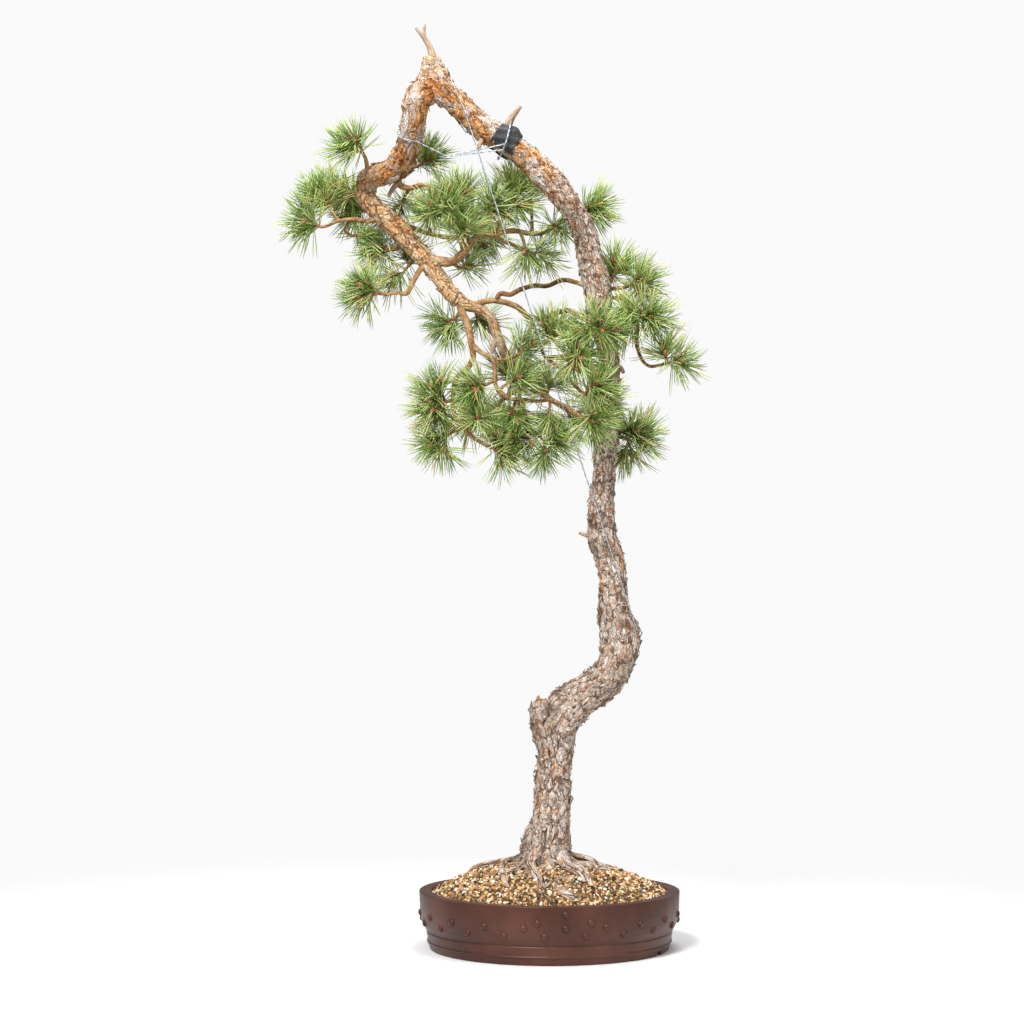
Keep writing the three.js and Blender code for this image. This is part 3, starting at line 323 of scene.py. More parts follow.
# A place on the tree is right and up in the upright plane through the trunk's foot, slid back
# along the line of sight of an eye in front. Each stem is a row of [right, up, back, radius].
EYE = Vector((22, -2400, 370)) * MM
TRUNK = [
    [55, 46, 2, 24], [55.5, 72, 2, 25], [56, 92, 2, 25], [57, 108, 1, 24], [59.5, 118, 0, 21],
    [61, 130, 0, 19.5], [63, 150, 0, 18.3], [63, 170, 0, 18.3], [65, 188, -1, 18],
    [66, 204, -3, 18.5], [68, 220, -5, 20.5], [77, 238, -6, 21], [95, 251, -4, 19],
    [115, 265, -1, 18.3], [126, 282, 1, 18], [130, 300, 2, 19.5], [129, 316, 3, 20],
    [124.5, 330, 4, 17], [123, 348, 5, 15], [123, 368, 6, 13.2], [119, 388, 8, 15],
    [113, 405, 8, 14.8], [111, 430, 8, 13.8], [113, 458, 7, 12], [115, 478, 6, 11],
    [116, 498, 5, 12], [116, 518, 4, 13], [117.5, 548, 4, 11.5], [119.3, 578, 4, 10.8],
    [116, 608, 4, 11], [109, 628, 3, 13], [108.5, 648, 2, 13], [105, 668, 0, 14],
    [100.5, 688, -1, 13.3], [96, 708, -2, 12], [88.5, 727, -3, 11.5], [82, 738, -3, 12],
    [73, 750, -4, 13], [60, 765, -5, 13], [46, 780, -5, 13.5], [32, 792, -6, 12],
    [17, 804, -7, 12], [-5, 818, -7, 13.6], [-22, 833, -8, 12.5], [-38, 848, -9, 12.3],
    [-50, 859, -10, 14.5], [-57, 873, -10, 15], [-59, 883, -10, 9.5],
]
TRUNK_KNOB = [[65, 196, -2, 16], [59, 212, -4, 16.5], [54, 225, -6, 15], [51.5, 235, -8, 12]]
LIMB_TOP = [
    [-57, 868, -10, 12.5], [-67, 856, -12, 14], [-73, 847, -14, 13.4], [-76, 833, -17, 12.6],
    [-78.5, 818, -20, 12.3], [-80.5, 806, -23, 12.3], [-84, 796, -26, 12.6], [-90, 785, -29, 13.4],
]
LIMB_ELBOW = [
    [-86, 783, -29, 12], [-96, 777, -31, 13], [-108, 773, -34, 12.3], [-118, 770, -36, 11.5],
]
LIMB_LOW = [
    [-122, 767, -36, 11.5], [-125, 756, -37, 10.6], [-122, 746, -38, 10], [-109, 732, -38, 10.3],
    [-95, 720, -39, 11], [-80, 703, -40, 10], [-68, 690, -40, 9.6], [-58, 677, -40, 9],
    [-48, 664, -40, 8.2], [-40, 653, -40, 8], [-31, 645, -40, 8],
]
# Branches, each growing out of the stem named first
BRANCHES = {
    "fork_right": ["limb_low", [
        [-34, 646, -40, 7.5], [-25, 641, -40, 6.8], [-15, 638, -41, 5.6], [-5, 633, -43, 5.5],
        [2, 626, -45, 5.3], [6, 613, -47, 5.2], [10, 602, -48, 5], [16, 590, -46, 4.6],
        [24, 577, -36, 3.9], [32, 568, -14, 3.6],
    ]],
    "fork_down": ["limb_low", [
        [-33, 644, -40, 5], [-28, 633, -42, 4.2], [-22, 620, -46, 3.8], [-19, 604, -50, 3.6],
        [-17, 590, -52, 3.2], [-21, 579, -53, 2.9], [-33, 568, -54, 2.6], [-37, 552, -56, 2.3],
        [-36, 532, -58, 2.2], [-24, 514, -58, 2.1], [-8, 502, -58, 2], [0, 498, -58, 1.9],
    ]],
    "front_arm": ["fork_right", [
        [-20, 640, -41, 4], [-12, 642, -42, 3.2], [0, 645, -43, 3], [16, 643, -43, 3],
        [28, 638, -43, 3], [38, 629, -42, 3], [50, 627, -40, 2.8], [62, 631, -38, 2.7],
        [76, 635, -36, 2.6], [88, 631, -34, 2.4], [99, 624, -33, 2.2],
    ]],
    "back_arm": ["front_arm", [
        [5, 644, -43, 3], [10, 652, -44, 2.6], [20, 651, -42, 2.6], [30, 656, -34, 2.6],
        [44, 660, -20, 2.5], [58, 660, -6, 2.5], [70, 665, 6, 2.5], [84, 664, 17, 2.5],
        [102, 658, 23, 2.4], [120, 657, 22, 2.2], [134, 658, 20, 2],
    ]],
    "right_drop": ["back_arm", [
        [104, 657, 23, 2.2], [114, 649, 24, 2.1], [133, 647, 22, 2], [145, 640, 19, 2],
        [148, 620, 16, 1.9], [147, 602, 14, 1.9], [152, 586, 12, 1.8], [160, 579, 10, 1.7],
        [174, 581, 8, 1.6],
    ]],
    "rear_arm": ["fork_right", [
        [30, 569, -18, 3.4], [40, 561, 8, 3.2], [56, 549, 26, 3], [78, 535, 33, 2.8],
        [102, 522, 34, 2.5], [122, 512, 30, 2.2], [134, 507, 26, 2],
    ]],
    "mid_arm": ["limb_low", [
        [-66, 688, -40, 6], [-52, 685, -44, 5.4], [-39, 684, -49, 4.8], [-28, 692, -54, 4.3],
        [-20, 703, -57, 3.8], [-10, 711, -60, 3.4], [5, 713, -61, 3], [25, 715, -56, 2.6],
        [42, 712, -46, 2.4], [56, 714, -28, 2.2], [67, 721, -4, 2.1], [78, 727, 13, 2],
        [88, 733, 19, 1.8],
    ]],
    "upper_arch": ["limb_top", [
        [-91, 773, -32, 4.5], [-91, 762, -37, 3.4], [-81, 758, -42, 3], [-70, 761, -47, 2.8],
        [-60, 759, -51, 2.6], [-53, 750, -56, 2.4], [-47, 740, -60, 2.1],
    ]],
    "left_arm": ["limb_low", [
        [-110, 731, -39, 3.2], [-120, 725, -41, 2.4], [-138, 727, -43, 2], [-152, 725, -45, 1.9],
        [-164, 720, -47, 1.7],
    ]],
    "low_left_arm": ["limb_low", [
        [-58, 678, -41, 4], [-68, 678, -45, 3], [-76, 666, -49, 2.6], [-84, 652, -52, 2.4],
        [-92, 653, -54, 2.1], [-107, 651, -56, 1.8],
    ]],
    "inner_arm": ["fork_down", [
        [-19, 600, -50, 3], [-9, 593, -54, 2.4], [2, 587, -58, 2.3], [5, 572, -62, 2.1],
        [7, 556, -65, 2], [18, 547, -66, 1.9], [32, 546, -65, 1.9], [46, 544, -62, 1.9],
        [60, 545, -58, 1.8], [76, 539, -53, 1.7], [88, 531, -50, 1.6],
    ]],
    "centre_drop": ["front_arm", [
        [42, 628, -42, 2.4], [46, 615, -44, 2.1], [50, 602, -48, 2], [56, 588, -52, 1.9],
        [68, 579, -53, 1.8], [80, 565, -52, 1.7], [90, 554, -50, 1.6],
    ]],
    "low_drop": ["inner_arm", [
        [32, 546, -65, 2], [35, 532, -63, 1.9], [40, 518, -60, 1.8], [50, 509, -57, 1.7],
    ]],
    "back_fill": ["rear_arm", [
        [38, 562, 6, 3], [30, 556, 26, 2.6], [18, 550, 42, 2.4], [6, 540, 50, 2.2], [-8, 530, 56, 1.9],
    ]],
    "rear_upper": ["limb_low", [
        [-96, 722, -34, 4], [-90, 722, -14, 3.2], [-78, 718, 10, 2.8], [-60, 712, 34, 2.4],
        [-38, 708, 54, 2.1], [-20, 712, 68, 1.8],
    ]],
}
# What hangs from the limb in front of the trunk swings back, clear of the wire
LIMB_SWING = 80
SWING_HEIGHTS = (740, 850)
SWING_TRUNK_SIDE = (60, 100)
SWING_DEPTHS = (0, 100)
# How far apart the rings round a stem are, and how long the bark's plates are for their width
RING_STEP = 1.45
PLATE_WIDTH = 8.0
PLATE_LENGTHENING = 2.0
OLD_SIDES = 64
YOUNG_SIDES = 16
# The bark's relief: how much finer its flakes are than its plates, how many layers it sheds in, and
# how many swellings and bends of the plates there are to a metre or to a plate
FLAKE_FINENESS = 2.6
BARK_LAYERS = 9.0
SWELLS_PER_M = 34.0
BENDS_TO_PLATE = 0.55
# How far the bark stands out, as a share of the stem's radius
BARK_RELIEF = 0.085
BRANCH_RELIEF = 0.09
stems = {}


def smooth_share(value, low, high):
    """How far a value is from low to high, from 0 to 1, easing in and out."""
    share = min(1, max(0, (value - low) / (high - low)))
    return share * share * (3 - 2 * share)


def swung(right, up, back, *radius):
    """A place on the limb after it has swung back."""
    loose = 1 - smooth_share(up, *SWING_HEIGHTS)
    beside = 1 - smooth_share(right, *SWING_TRUNK_SIDE)
    in_front = 1 - min(1, max(0, (back - SWING_DEPTHS[0]) / (SWING_DEPTHS[1] - SWING_DEPTHS[0])))
    return [right, up, back + LIMB_SWING * loose * beside * in_front, *radius]


def placed(right, up, back):
    """The point in the frame for a place on the tree."""
    in_plane = Vector((right, 0, up)) * MM
    return EYE + (in_plane - EYE) * (1 - back * MM / EYE.y)


def smooth_path(points, step):
    """Points a step apart on a centripetal Catmull-Rom curve, each with its radius."""
    path = []
    for i in range(len(points) - 1):
        (p1, r1), (p2, r2) = points[i], points[i + 1]
        p0 = points[i - 1][0] if i else p1 * 2 - p2
        p3 = points[i + 2][0] if i + 2 < len(points) else p2 * 2 - p1
        knots = [0]
        for a, b in ((p0, p1), (p1, p2), (p2, p3)):
            knots.append(knots[-1] + max(math.sqrt((b - a).length), 1e-4))
        count = max(1, round((p2 - p1).length / step))
        for k in range(count):
            t = knots[1] + (knots[2] - knots[1]) * k / count
            row = [p0, p1, p2, p3]
            for level in (1, 2, 3):
                spans = range(4 - level)
                wide = level if level < 3 else 1
                low = [knots[j + (level == 3)] for j in spans]
                high = [knots[j + (level == 3) + wide] for j in spans]
                row = [row[j].lerp(row[j + 1], (t - low[j]) / (high[j] - low[j])) for j in spans]
            path.append((row[0], r1 + (r2 - r1) * k / count))
    return path + [points[-1]]


def grow(name, points, parent=None):
    """Adds a stem that starts on its parent's middle, and returns its path."""
    rows = [(placed(*point[:3]), point[3] * MM) for point in points]
    if parent:
        nearest = min(stems[parent], key=lambda row: (row[0] - rows[0][0]).length)
        rows[0] = (nearest[0], rows[0][1])
    stems[name] = smooth_path(rows, 3 * MM)
    return stems[name]


def stem_lines(name, paths):
    """A mesh of lines along the paths, which holds how thick and how far along each point is."""
    points, edges, radii, lengths = [], [], [], []
    for number, path in enumerate(paths):
        length = number * 0.37
        for i, (point, radius) in enumerate(path):
            if i:
                edges.append((len(points) - 1, len(points)))
                length += (point - path[i - 1][0]).length
            points.append(point)
            radii.append(radius)
            lengths.append(length)
    lines = new_object(name, mesh_of(name, points, edges))
    for label, values in (("stem_radius", radii), ("stem_along", lengths)):
        attribute = lines.data.attributes.new(label, "FLOAT", "POINT")
        attribute.data.foreach_set("value", values)
    return lines


def round_off(path, first, last):
    """The path with rounded ends: rows that shrink to a point beyond its first and its last."""
    for wanted, end, inner in ((first, 0, 1), (last, -1, -2)):
        if not wanted:
            continue
        point, radius = path[end]
        heading = (point - path[inner][0]).normalized()
        cap = [(point + heading * radius * math.sin(t), radius * math.cos(t)) for t in (0.4, 0.8, 1.15, 1.45)]
        path = path + cap if last and end else cap[::-1] + path
    return path


old_paths = [
    round_off(grow("trunk", TRUNK), False, True),
    round_off(grow("knob", TRUNK_KNOB), False, True),
    round_off(grow("limb_top", [swung(*row) for row in LIMB_TOP]), True, True),
    round_off(grow("limb_elbow", [swung(*row) for row in LIMB_ELBOW]), True, True),
    round_off(grow("limb_low", [swung(*row) for row in LIMB_LOW]), True, False),
]
branch_paths = [
    grow(name, [swung(*row) for row in rows], parent) for name, (parent, rows) in BRANCHES.items()
]


def moved_by(tree, place, noise, reach):
    """A place moved by a noise's colour, by up to half the reach each way."""
    off = add(
        tree, "ShaderNodeVectorMath", {0: noise.outputs["Color"], 1: (0.5, 0.5, 0.5)}, operation="SUBTRACT",
    )
    off = add(tree, "ShaderNodeVectorMath", {0: off, "Scale": reach}, operation="SCALE")
    return add(tree, "ShaderNodeVectorMath", {0: place, 1: off})


def bark_layers(tree, place, fineness):
    """The number of the bark's layer at a place, and the place's share of the way to the next."""
    layers = add(
        tree, "ShaderNodeTexNoise", {"Vector": place, "Scale": fineness, "Detail": 3.0, "Roughness": 0.6},
    )
    layers = add(tree, "ShaderNodeMath", {0: layers, 1: BARK_LAYERS}, operation="MULTIPLY")
    return [add(tree, "ShaderNodeMath", {0: layers}, operation=part) for part in ("FLOOR", "FRACT")]


bark_shape, given = new_shape(
    "barked_stem", ("Sides", "NodeSocketInt"), ("Step", "NodeSocketFloat"), ("Relief", "NodeSocketFloat"),
    ("Plate", "NodeSocketFloat"), ("Lengthening", "NodeSocketFloat"), ("Bark", "NodeSocketMaterial"),
)
tree = bark_shape
line = add(tree, "GeometryNodeMeshToCurve", {0: given["Geometry"]})
path = add(tree, "GeometryNodeResampleCurve", {0: line, "Length": given["Step"]}, mode="LENGTH")
heading = add(
    tree, "GeometryNodeStoreNamedAttribute",
    {0: path, "Name": "stem_heading", "Value": add(tree, "GeometryNodeInputTangent")},
    data_type="FLOAT_VECTOR", domain="POINT",
)
hoop = add(tree, "GeometryNodeCurvePrimitiveCircle", {"Resolution": given["Sides"], "Radius": 1.0})
hoop_turn = add(
    tree, "ShaderNodeMath", {0: add(tree, "GeometryNodeSplineParameter").outputs["Factor"], 1: math.tau},
    operation="MULTIPLY",
)
hoop_marked = add(
    tree, "GeometryNodeStoreNamedAttribute", {0: hoop, "Name": "stem_turn", "Value": hoop_turn},
    data_type="FLOAT", domain="POINT",
)
radius, along, turn = [
    add(tree, "GeometryNodeInputNamedAttribute", {"Name": label}, data_type="FLOAT")
    for label in ("stem_radius", "stem_along", "stem_turn")
]
skin = add(
    tree, "GeometryNodeCurveToMesh", {0: heading, 1: hoop_marked, "Scale": radius, "Fill Caps": True},
)
cosine = add(tree, "ShaderNodeMath", {0: turn}, operation="COSINE")
sine = add(tree, "ShaderNodeMath", {0: turn}, operation="SINE")
round_place = add(tree, "ShaderNodeCombineXYZ", {0: cosine, 1: sine})
round_place = add(tree, "ShaderNodeVectorMath", {0: round_place, "Scale": radius}, operation="SCALE")
along_place = add(tree, "ShaderNodeMath", {0: along, 1: given["Lengthening"]}, operation="DIVIDE")
along_place = add(tree, "ShaderNodeCombineXYZ", {2: along_place})
straight = add(tree, "ShaderNodeVectorMath", {0: round_place, 1: along_place})
fineness = add(tree, "ShaderNodeMath", {0: 1.0, 1: given["Plate"]}, operation="DIVIDE")
coarse = add(tree, "ShaderNodeMath", {0: fineness, 1: BENDS_TO_PLATE}, operation="MULTIPLY")
wobble = add(tree, "ShaderNodeTexNoise", {"Vector": straight, "Scale": coarse, "Detail": 2.0})
bark_place = moved_by(tree, straight, wobble, given["Plate"])
skin_marked = add(
    tree, "GeometryNodeStoreNamedAttribute", {0: skin, "Name": "bark_place", "Value": bark_place},
    data_type="FLOAT_VECTOR", domain="POINT",
)
edge = add(
    tree, "ShaderNodeTexVoronoi", {"Vector": bark_place, "Scale": fineness}, feature="DISTANCE_TO_EDGE",
)
cell = add(tree, "ShaderNodeTexVoronoi", {"Vector": bark_place, "Scale": fineness})
finer = add(tree, "ShaderNodeMath", {0: fineness, 1: FLAKE_FINENESS}, operation="MULTIPLY")
fine_edge = add(
    tree, "ShaderNodeTexVoronoi", {"Vector": bark_place, "Scale": finer}, feature="DISTANCE_TO_EDGE",
)
swells = add(tree, "ShaderNodeTexNoise", {"Vector": straight, "Scale": SWELLS_PER_M, "Detail": 1.0})
layer, rise = bark_layers(tree, bark_place, fineness)
rise = add(tree, "ShaderNodeMapRange", {0: rise, 2: 0.35}, interpolation_type="SMOOTHSTEP")
layer_height = add(tree, "ShaderNodeMath", {0: layer, 1: rise})
plate = add(tree, "ShaderNodeMapRange", {0: edge, 1: 0.0, 2: 0.2}, interpolation_type="SMOOTHSTEP")
fine_plate = add(
    tree, "ShaderNodeMapRange", {0: fine_edge, 1: 0.0, 2: 0.3}, interpolation_type="SMOOTHSTEP",
)
cell_height = add(
    tree, "ShaderNodeMath", {0: cell.outputs["Color"], 1: 0.7, 2: 0.3}, operation="MULTIPLY_ADD",
)
plate_height = add(tree, "ShaderNodeMath", {0: plate, 1: cell_height}, operation="MULTIPLY")
for part, share in ((fine_plate, 0.3), (swells, 1.6), (layer_height, 0.3)):
    plate_height = add(
        tree, "ShaderNodeMath", {0: part, 1: share, 2: plate_height}, operation="MULTIPLY_ADD",
    )
level_height = add(tree, "ShaderNodeMath", {0: plate_height, 1: 3.0}, operation="SUBTRACT")
depth = add(tree, "ShaderNodeMath", {0: radius, 1: given["Relief"]}, operation="MULTIPLY")
height = add(tree, "ShaderNodeMath", {0: level_height, 1: depth}, operation="MULTIPLY")
push = add(
    tree, "ShaderNodeVectorMath", {0: add(tree, "GeometryNodeInputNormal"), "Scale": height},
    operation="SCALE",
)
rough = add(tree, "GeometryNodeSetPosition", {0: skin_marked, "Offset": push})
end_shape(tree, rough, given["Bark"])

# Scots pine bark: dead cork in thin, ragged scales that lie over each other. Old scales are weathered
# to grey beige over dark cracks, and painted shadow darkens the foot of each scale's step; where they have
# shed, the fresh cork is orange-brown.

# How many of each pattern there are to the metre: stains about 38 mm apart, patches 13 mm, streaks
# 8 mm, spots 5 mm, torn edges 3 mm and fibres 1 mm. The torn edges wander by up to half TEAR_REACH.
STAINS, PATCHES, STREAKS, SPOTS, TEARS, FIBRES = 26.0, 75.0, 130.0, 210.0, 300.0, 900.0
TEAR_REACH = 4.6
PLATES_PER_M = 1 / (PLATE_WIDTH * MM)
FLAKES_PER_M = 2.9 / (PLATE_WIDTH * MM)
# Where the bark turns orange, up a slant towards the arch, and how thick the limb and a twig are
UPPER_BARK = (0.62, 0.76)
LIMB_BARK = (0.0125, 0.0095)
TWIG_BARK = (0.007, 0.0035)
bark, tree, shader = new_material("scots_pine_bark")
bark_place = add(tree, "ShaderNodeAttribute", attribute_name="bark_place").outputs["Vector"]
stem_radius, scar = [
    add(tree, "ShaderNodeAttribute", attribute_name=label).outputs["Fac"] for label in ("stem_radius", "scar")
]
place = add(tree, "ShaderNodeTexCoord").outputs["Object"]
apart = add(tree, "ShaderNodeSeparateXYZ", {0: place})
tear = add(
    tree, "ShaderNodeTexNoise", {"Vector": bark_place, "Scale": TEARS, "Detail": 4.0, "Roughness": 0.6},
)
torn = moved_by(tree, bark_place, tear, TEAR_REACH * MM)
edge = add(
    tree, "ShaderNodeTexVoronoi", {"Vector": torn, "Scale": PLATES_PER_M}, feature="DISTANCE_TO_EDGE",
)
cell = add(tree, "ShaderNodeTexVoronoi", {"Vector": torn, "Scale": PLATES_PER_M})
flake_cell = add(tree, "ShaderNodeTexVoronoi", {"Vector": torn, "Scale": FLAKES_PER_M})
flake_edge = add(
    tree, "ShaderNodeTexVoronoi", {"Vector": torn, "Scale": FLAKES_PER_M}, feature="DISTANCE_TO_EDGE",
)
fibres = add(
    tree, "ShaderNodeTexNoise",
    {"Vector": add(tree, "ShaderNodeMapping", {"Vector": bark_place, "Scale": (1, 1, 0.35)}),
     "Scale": FIBRES, "Detail": 4.0, "Roughness": 0.65},
)
patches = add(
    tree, "ShaderNodeTexNoise", {"Vector": bark_place, "Scale": PATCHES, "Detail": 3.0, "Roughness": 0.6},
)
spots = add(tree, "ShaderNodeTexNoise", {"Vector": torn, "Scale": SPOTS, "Detail": 3.0, "Roughness": 0.6})
layer, rise = bark_layers(tree, torn, PLATES_PER_M)
layer_tone = add(tree, "ShaderNodeTexWhiteNoise", {"W": layer}, noise_dimensions="1D")
tone = add(
    tree, "ShaderNodeMix", {0: 0.5, 2: cell.outputs["Color"], 3: flake_cell.outputs["Color"]},
    data_type="FLOAT",
)
tone = add(tree, "ShaderNodeMix", {0: 0.3, 2: tone, 3: layer_tone.outputs["Value"]}, data_type="FLOAT")
low_bark = add(tree, "ShaderNodeValToRGB", {"Fac": tone})
set_stops(low_bark, [
    (0.1, "#6b5242"), (0.26, "#b39c8a"), (0.42, "#dccabb"),
    (0.58, "#efe2d6"), (0.76, "#cdb6a3"), (0.92, "#faf1e8"),
])
shed = add(tree, "ShaderNodeMapRange", {0: patches, 1: 0.62, 2: 0.38, 3: -0.3, 4: 0.3})
high_tone = add(tree, "ShaderNodeMath", {0: tone, 1: shed})
high_bark = add(tree, "ShaderNodeValToRGB", {"Fac": high_tone})
set_stops(high_bark, [
    (0.05, "#b56c3c"), (0.22, "#e3a05c"), (0.38, "#fbc98c"),
    (0.5, "#c4a590"), (0.66, "#eadacd"), (0.9, "#f7eee6"),
])
limb_bark = add(tree, "ShaderNodeValToRGB", {"Fac": tone})
set_stops(limb_bark, [
    (0.12, "#a38262"), (0.3, "#ecb87f"), (0.46, "#fbd4a0"),
    (0.58, "#d3bea4"), (0.76, "#ecdcc9"), (0.92, "#f9eedf"),
])
twig_bark = add(tree, "ShaderNodeValToRGB", {"Fac": tone})
set_stops(twig_bark, [(0.15, "#7d5a3f"), (0.4, "#ae8355"), (0.6, "#caa473"), (0.85, "#b8a28e")])
stains = add(tree, "ShaderNodeTexNoise", {"Vector": place, "Scale": STAINS, "Detail": 3.0})
aloft = add(tree, "ShaderNodeVectorMath", {0: place, 1: (-0.9, 0, 1)}, operation="DOT_PRODUCT")
upper, slim, young = [
    add(tree, "ShaderNodeMapRange", {0: value, 1: low, 2: high}, interpolation_type="SMOOTHSTEP")
    for value, (low, high) in (
        (aloft.outputs["Value"], UPPER_BARK), (stem_radius, LIMB_BARK), (stem_radius, TWIG_BARK),
    )
]
left_side = add(tree, "ShaderNodeMapRange", {0: apart.outputs[0], 1: 0.02, 2: -0.02})
on_limb = add(tree, "ShaderNodeMath", {0: slim, 1: left_side}, operation="MULTIPLY")
above_soil = add(tree, "ShaderNodeMapRange", {0: apart.outputs[2], 1: 0.13, 2: 0.2})
young_stem = add(tree, "ShaderNodeMath", {0: young, 1: above_soil}, operation="MULTIPLY")
fresh = add(
    tree, "ShaderNodeMapRange", {0: spots, 1: 0.58, 2: 0.66, 4: 0.75}, interpolation_type="SMOOTHSTEP",
)
along_stem = add(tree, "ShaderNodeMapping", {"Vector": bark_place, "Scale": (1, 1, 0.3)})
streaks = add(
    tree, "ShaderNodeTexNoise", {"Vector": along_stem, "Scale": STREAKS, "Detail": 4.0, "Roughness": 0.65},
)
streak = add(
    tree, "ShaderNodeMapRange", {0: streaks, 1: 0.57, 2: 0.66, 4: 0.8}, interpolation_type="SMOOTHSTEP",
)
fresh = add(tree, "ShaderNodeMath", {0: fresh, 1: streak}, operation="MAXIMUM")
crack_width = add(tree, "ShaderNodeMapRange", {0: patches, 1: 0.32, 2: 0.68, 3: 0.005, 4: 0.2})
crack = add(
    tree, "ShaderNodeMapRange", {0: edge, 1: 0.0, 2: crack_width, 3: 1.0, 4: 0.0},
    interpolation_type="SMOOTHSTEP",
)
flake_crack = add(
    tree, "ShaderNodeMapRange", {0: flake_edge, 1: 0.0, 2: 0.1, 3: 0.6, 4: 0.0},
    interpolation_type="SMOOTHSTEP",
)
# Painted shadow: the low side of each layer's step, under the edge of the scale above, is darkened with the
# crack colour.
ledge_shadow = add(
    tree, "ShaderNodeMapRange", {0: rise, 1: 0.0, 2: 0.18, 3: 0.7, 4: 0.0}, interpolation_type="SMOOTHSTEP",
)
# The real cracks, the flake edges and the painted ledge shadows darken the bark together, less on young
# stems.
cracks_and_ledge_shadow = crack
for finer_dark_line in (flake_crack, ledge_shadow):
    cracks_and_ledge_shadow = add(tree, "ShaderNodeMath", {0: cracks_and_ledge_shadow, 1: finer_dark_line}, operation="MAXIMUM")
crack_and_shadow_strength = add(tree, "ShaderNodeMapRange", {0: young_stem, 3: 0.95, 4: 0.35})
crack_and_shadow_share = add(tree, "ShaderNodeMath", {0: cracks_and_ledge_shadow, 1: crack_and_shadow_strength}, operation="MULTIPLY")
warm = add(tree, "ShaderNodeMapRange", {0: spots, 1: 0.42, 2: 0.6}, interpolation_type="SMOOTHSTEP")
warm = add(tree, "ShaderNodeMath", {0: warm, 1: upper}, operation="MAXIMUM")
crack_and_shadow_colour = add(
    tree, "ShaderNodeMix", {0: warm, 6: linear("#3b2b20"), 7: linear("#6f4425")}, data_type="RGBA",
)
# Painted shade: where a scar sinks in, its middle is coloured dark brown to stand for the shade in the
# hollow.
hollow_shade = add(tree, "ShaderNodeMapRange", {0: scar, 1: 0.0, 2: -1.0, 4: 0.85})
callus = add(tree, "ShaderNodeMapRange", {0: scar, 1: 0.0, 2: 1.0, 4: 0.3})
colour = low_bark
for cover, paint in (
    (upper, high_bark), (on_limb, limb_bark), (fresh, linear("#dc9456")), (young_stem, twig_bark),
    (crack_and_shadow_share, crack_and_shadow_colour.outputs[2]), (hollow_shade, linear("#33261d")), (callus, linear("#e0cdb6")),
):
    colour = add(tree, "ShaderNodeMix", {0: cover, 6: colour, 7: paint}, data_type="RGBA").outputs[2]
stain_share = add(tree, "ShaderNodeMapRange", {0: stains, 1: 0.5, 2: 0.68, 4: 0.5})
off_limb = add(tree, "ShaderNodeMath", {0: 1.0, 1: on_limb}, operation="SUBTRACT")
stain_share = add(tree, "ShaderNodeMath", {0: stain_share, 1: off_limb}, operation="MULTIPLY")
fibre_shade = add(tree, "ShaderNodeMapRange", {0: fibres, 1: 0.3, 2: 0.7, 3: 0.62, 4: 1.3})
for cover, paint in ((stain_share, linear("#8f7c5c")), (1.0, fibre_shade)):
    colour = add(
        tree, "ShaderNodeMix", {0: cover, 6: colour, 7: paint}, data_type="RGBA", blend_type="MULTIPLY",
    ).outputs[2]
relief = fibres
for part, share in ((cracks_and_ledge_shadow, -0.9), (flake_cell.outputs["Color"], 0.6)):
    relief = add(tree, "ShaderNodeMath", {0: part, 1: share, 2: relief}, operation="MULTIPLY_ADD")
bump = add(tree, "ShaderNodeBump", {"Height": relief, "Strength": 0.8, "Distance": 0.7 * MM})
set_inputs(shader, {"Base Color": colour, "Normal": bump, "Roughness": 0.85, "Specular IOR Level": 0.25})

trunk_lines = stem_lines("trunk_lines", old_paths)
shape_with(
    trunk_lines, bark_shape, Sides=OLD_SIDES, Step=RING_STEP * MM, Relief=BARK_RELIEF,
    Plate=PLATE_WIDTH * MM, Lengthening=PLATE_LENGTHENING, Bark=bark,
)
trunk = plain_piece(trunk_lines, "trunk_and_limb")

# Scars where branches came off: a swollen lip of callus round a sunken hollow with painted shade in it, or a
# bare knob.
# A row is a place, how wide the scar is, how far its lip stands out and how deep its middle is.
SCARS = [
    ([129, 323, -14], 9, 4.5, -1), ([117, 318, -13], 7, 2.5, -1), ([115, 303, -10], 9, 1.2, 7),
    ([113, 293, -6], 8, 0.8, 5), ([117, 312, -12], 6, 0.8, 4), ([99, 404, 0], 8, 3.5, -1),
    ([60, 248, -21], 7, 3.0, -1), ([52, 242, -19], 7, 3.0, -1), ([61, 238, -19], 8, 0.5, 6),
    ([58, 231, -20], 8, 0.5, 6), ([55, 223, -20], 7, 0.4, 5), ([84, 245, -25], 5, 0.3, 3),
    ([84, 238, -26], 5, 0.3, 3), ([84, 231, -25], 5, 0.3, 3), ([-59, 882, -18], 10, 0.4, 3),
    ([-56, 890, -14], 8, 0.4, 3), ([-50, 872, -24], 10, 2.0, -1), ([118, 520, -12], 8, 2.4, 3),
    ([-118, 773, -46], 4.5, 1.8, 2), ([-100, 768, -46], 7, 1.6, -1),
]
SCAR_REACH = 1.6
scar_values = [0.0] * len(trunk.data.vertices)
for scar_place, width, lip, depth in SCARS:
    middle = placed(*(swung(*scar_place) if scar_place[0] < -90 else scar_place))
    for vertex in trunk.data.vertices:
        out = (vertex.co - middle).length / (width * MM)
        if out < SCAR_REACH:
            ring = math.exp(-((out - (0.8 if depth > 0 else 0)) / 0.45) ** 2)
            sunk = max(0, 1 - out / 0.7) if depth > 0 else 0
            vertex.co += vertex.normal * (lip * ring - depth * sunk * 0.5) * MM
            # The scar value rises on the callus lip and falls in the sunken middle, which the bark paints
            # with shade.
            scar_values[vertex.index] += ring * 0.9 - sunk * 2.2
scar_attribute = trunk.data.attributes.new("scar", "FLOAT", "POINT")
scar_attribute.data.foreach_set("value", [max(-1, min(1, value)) for value in scar_values])
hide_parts("tree")
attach(trunk, "root")

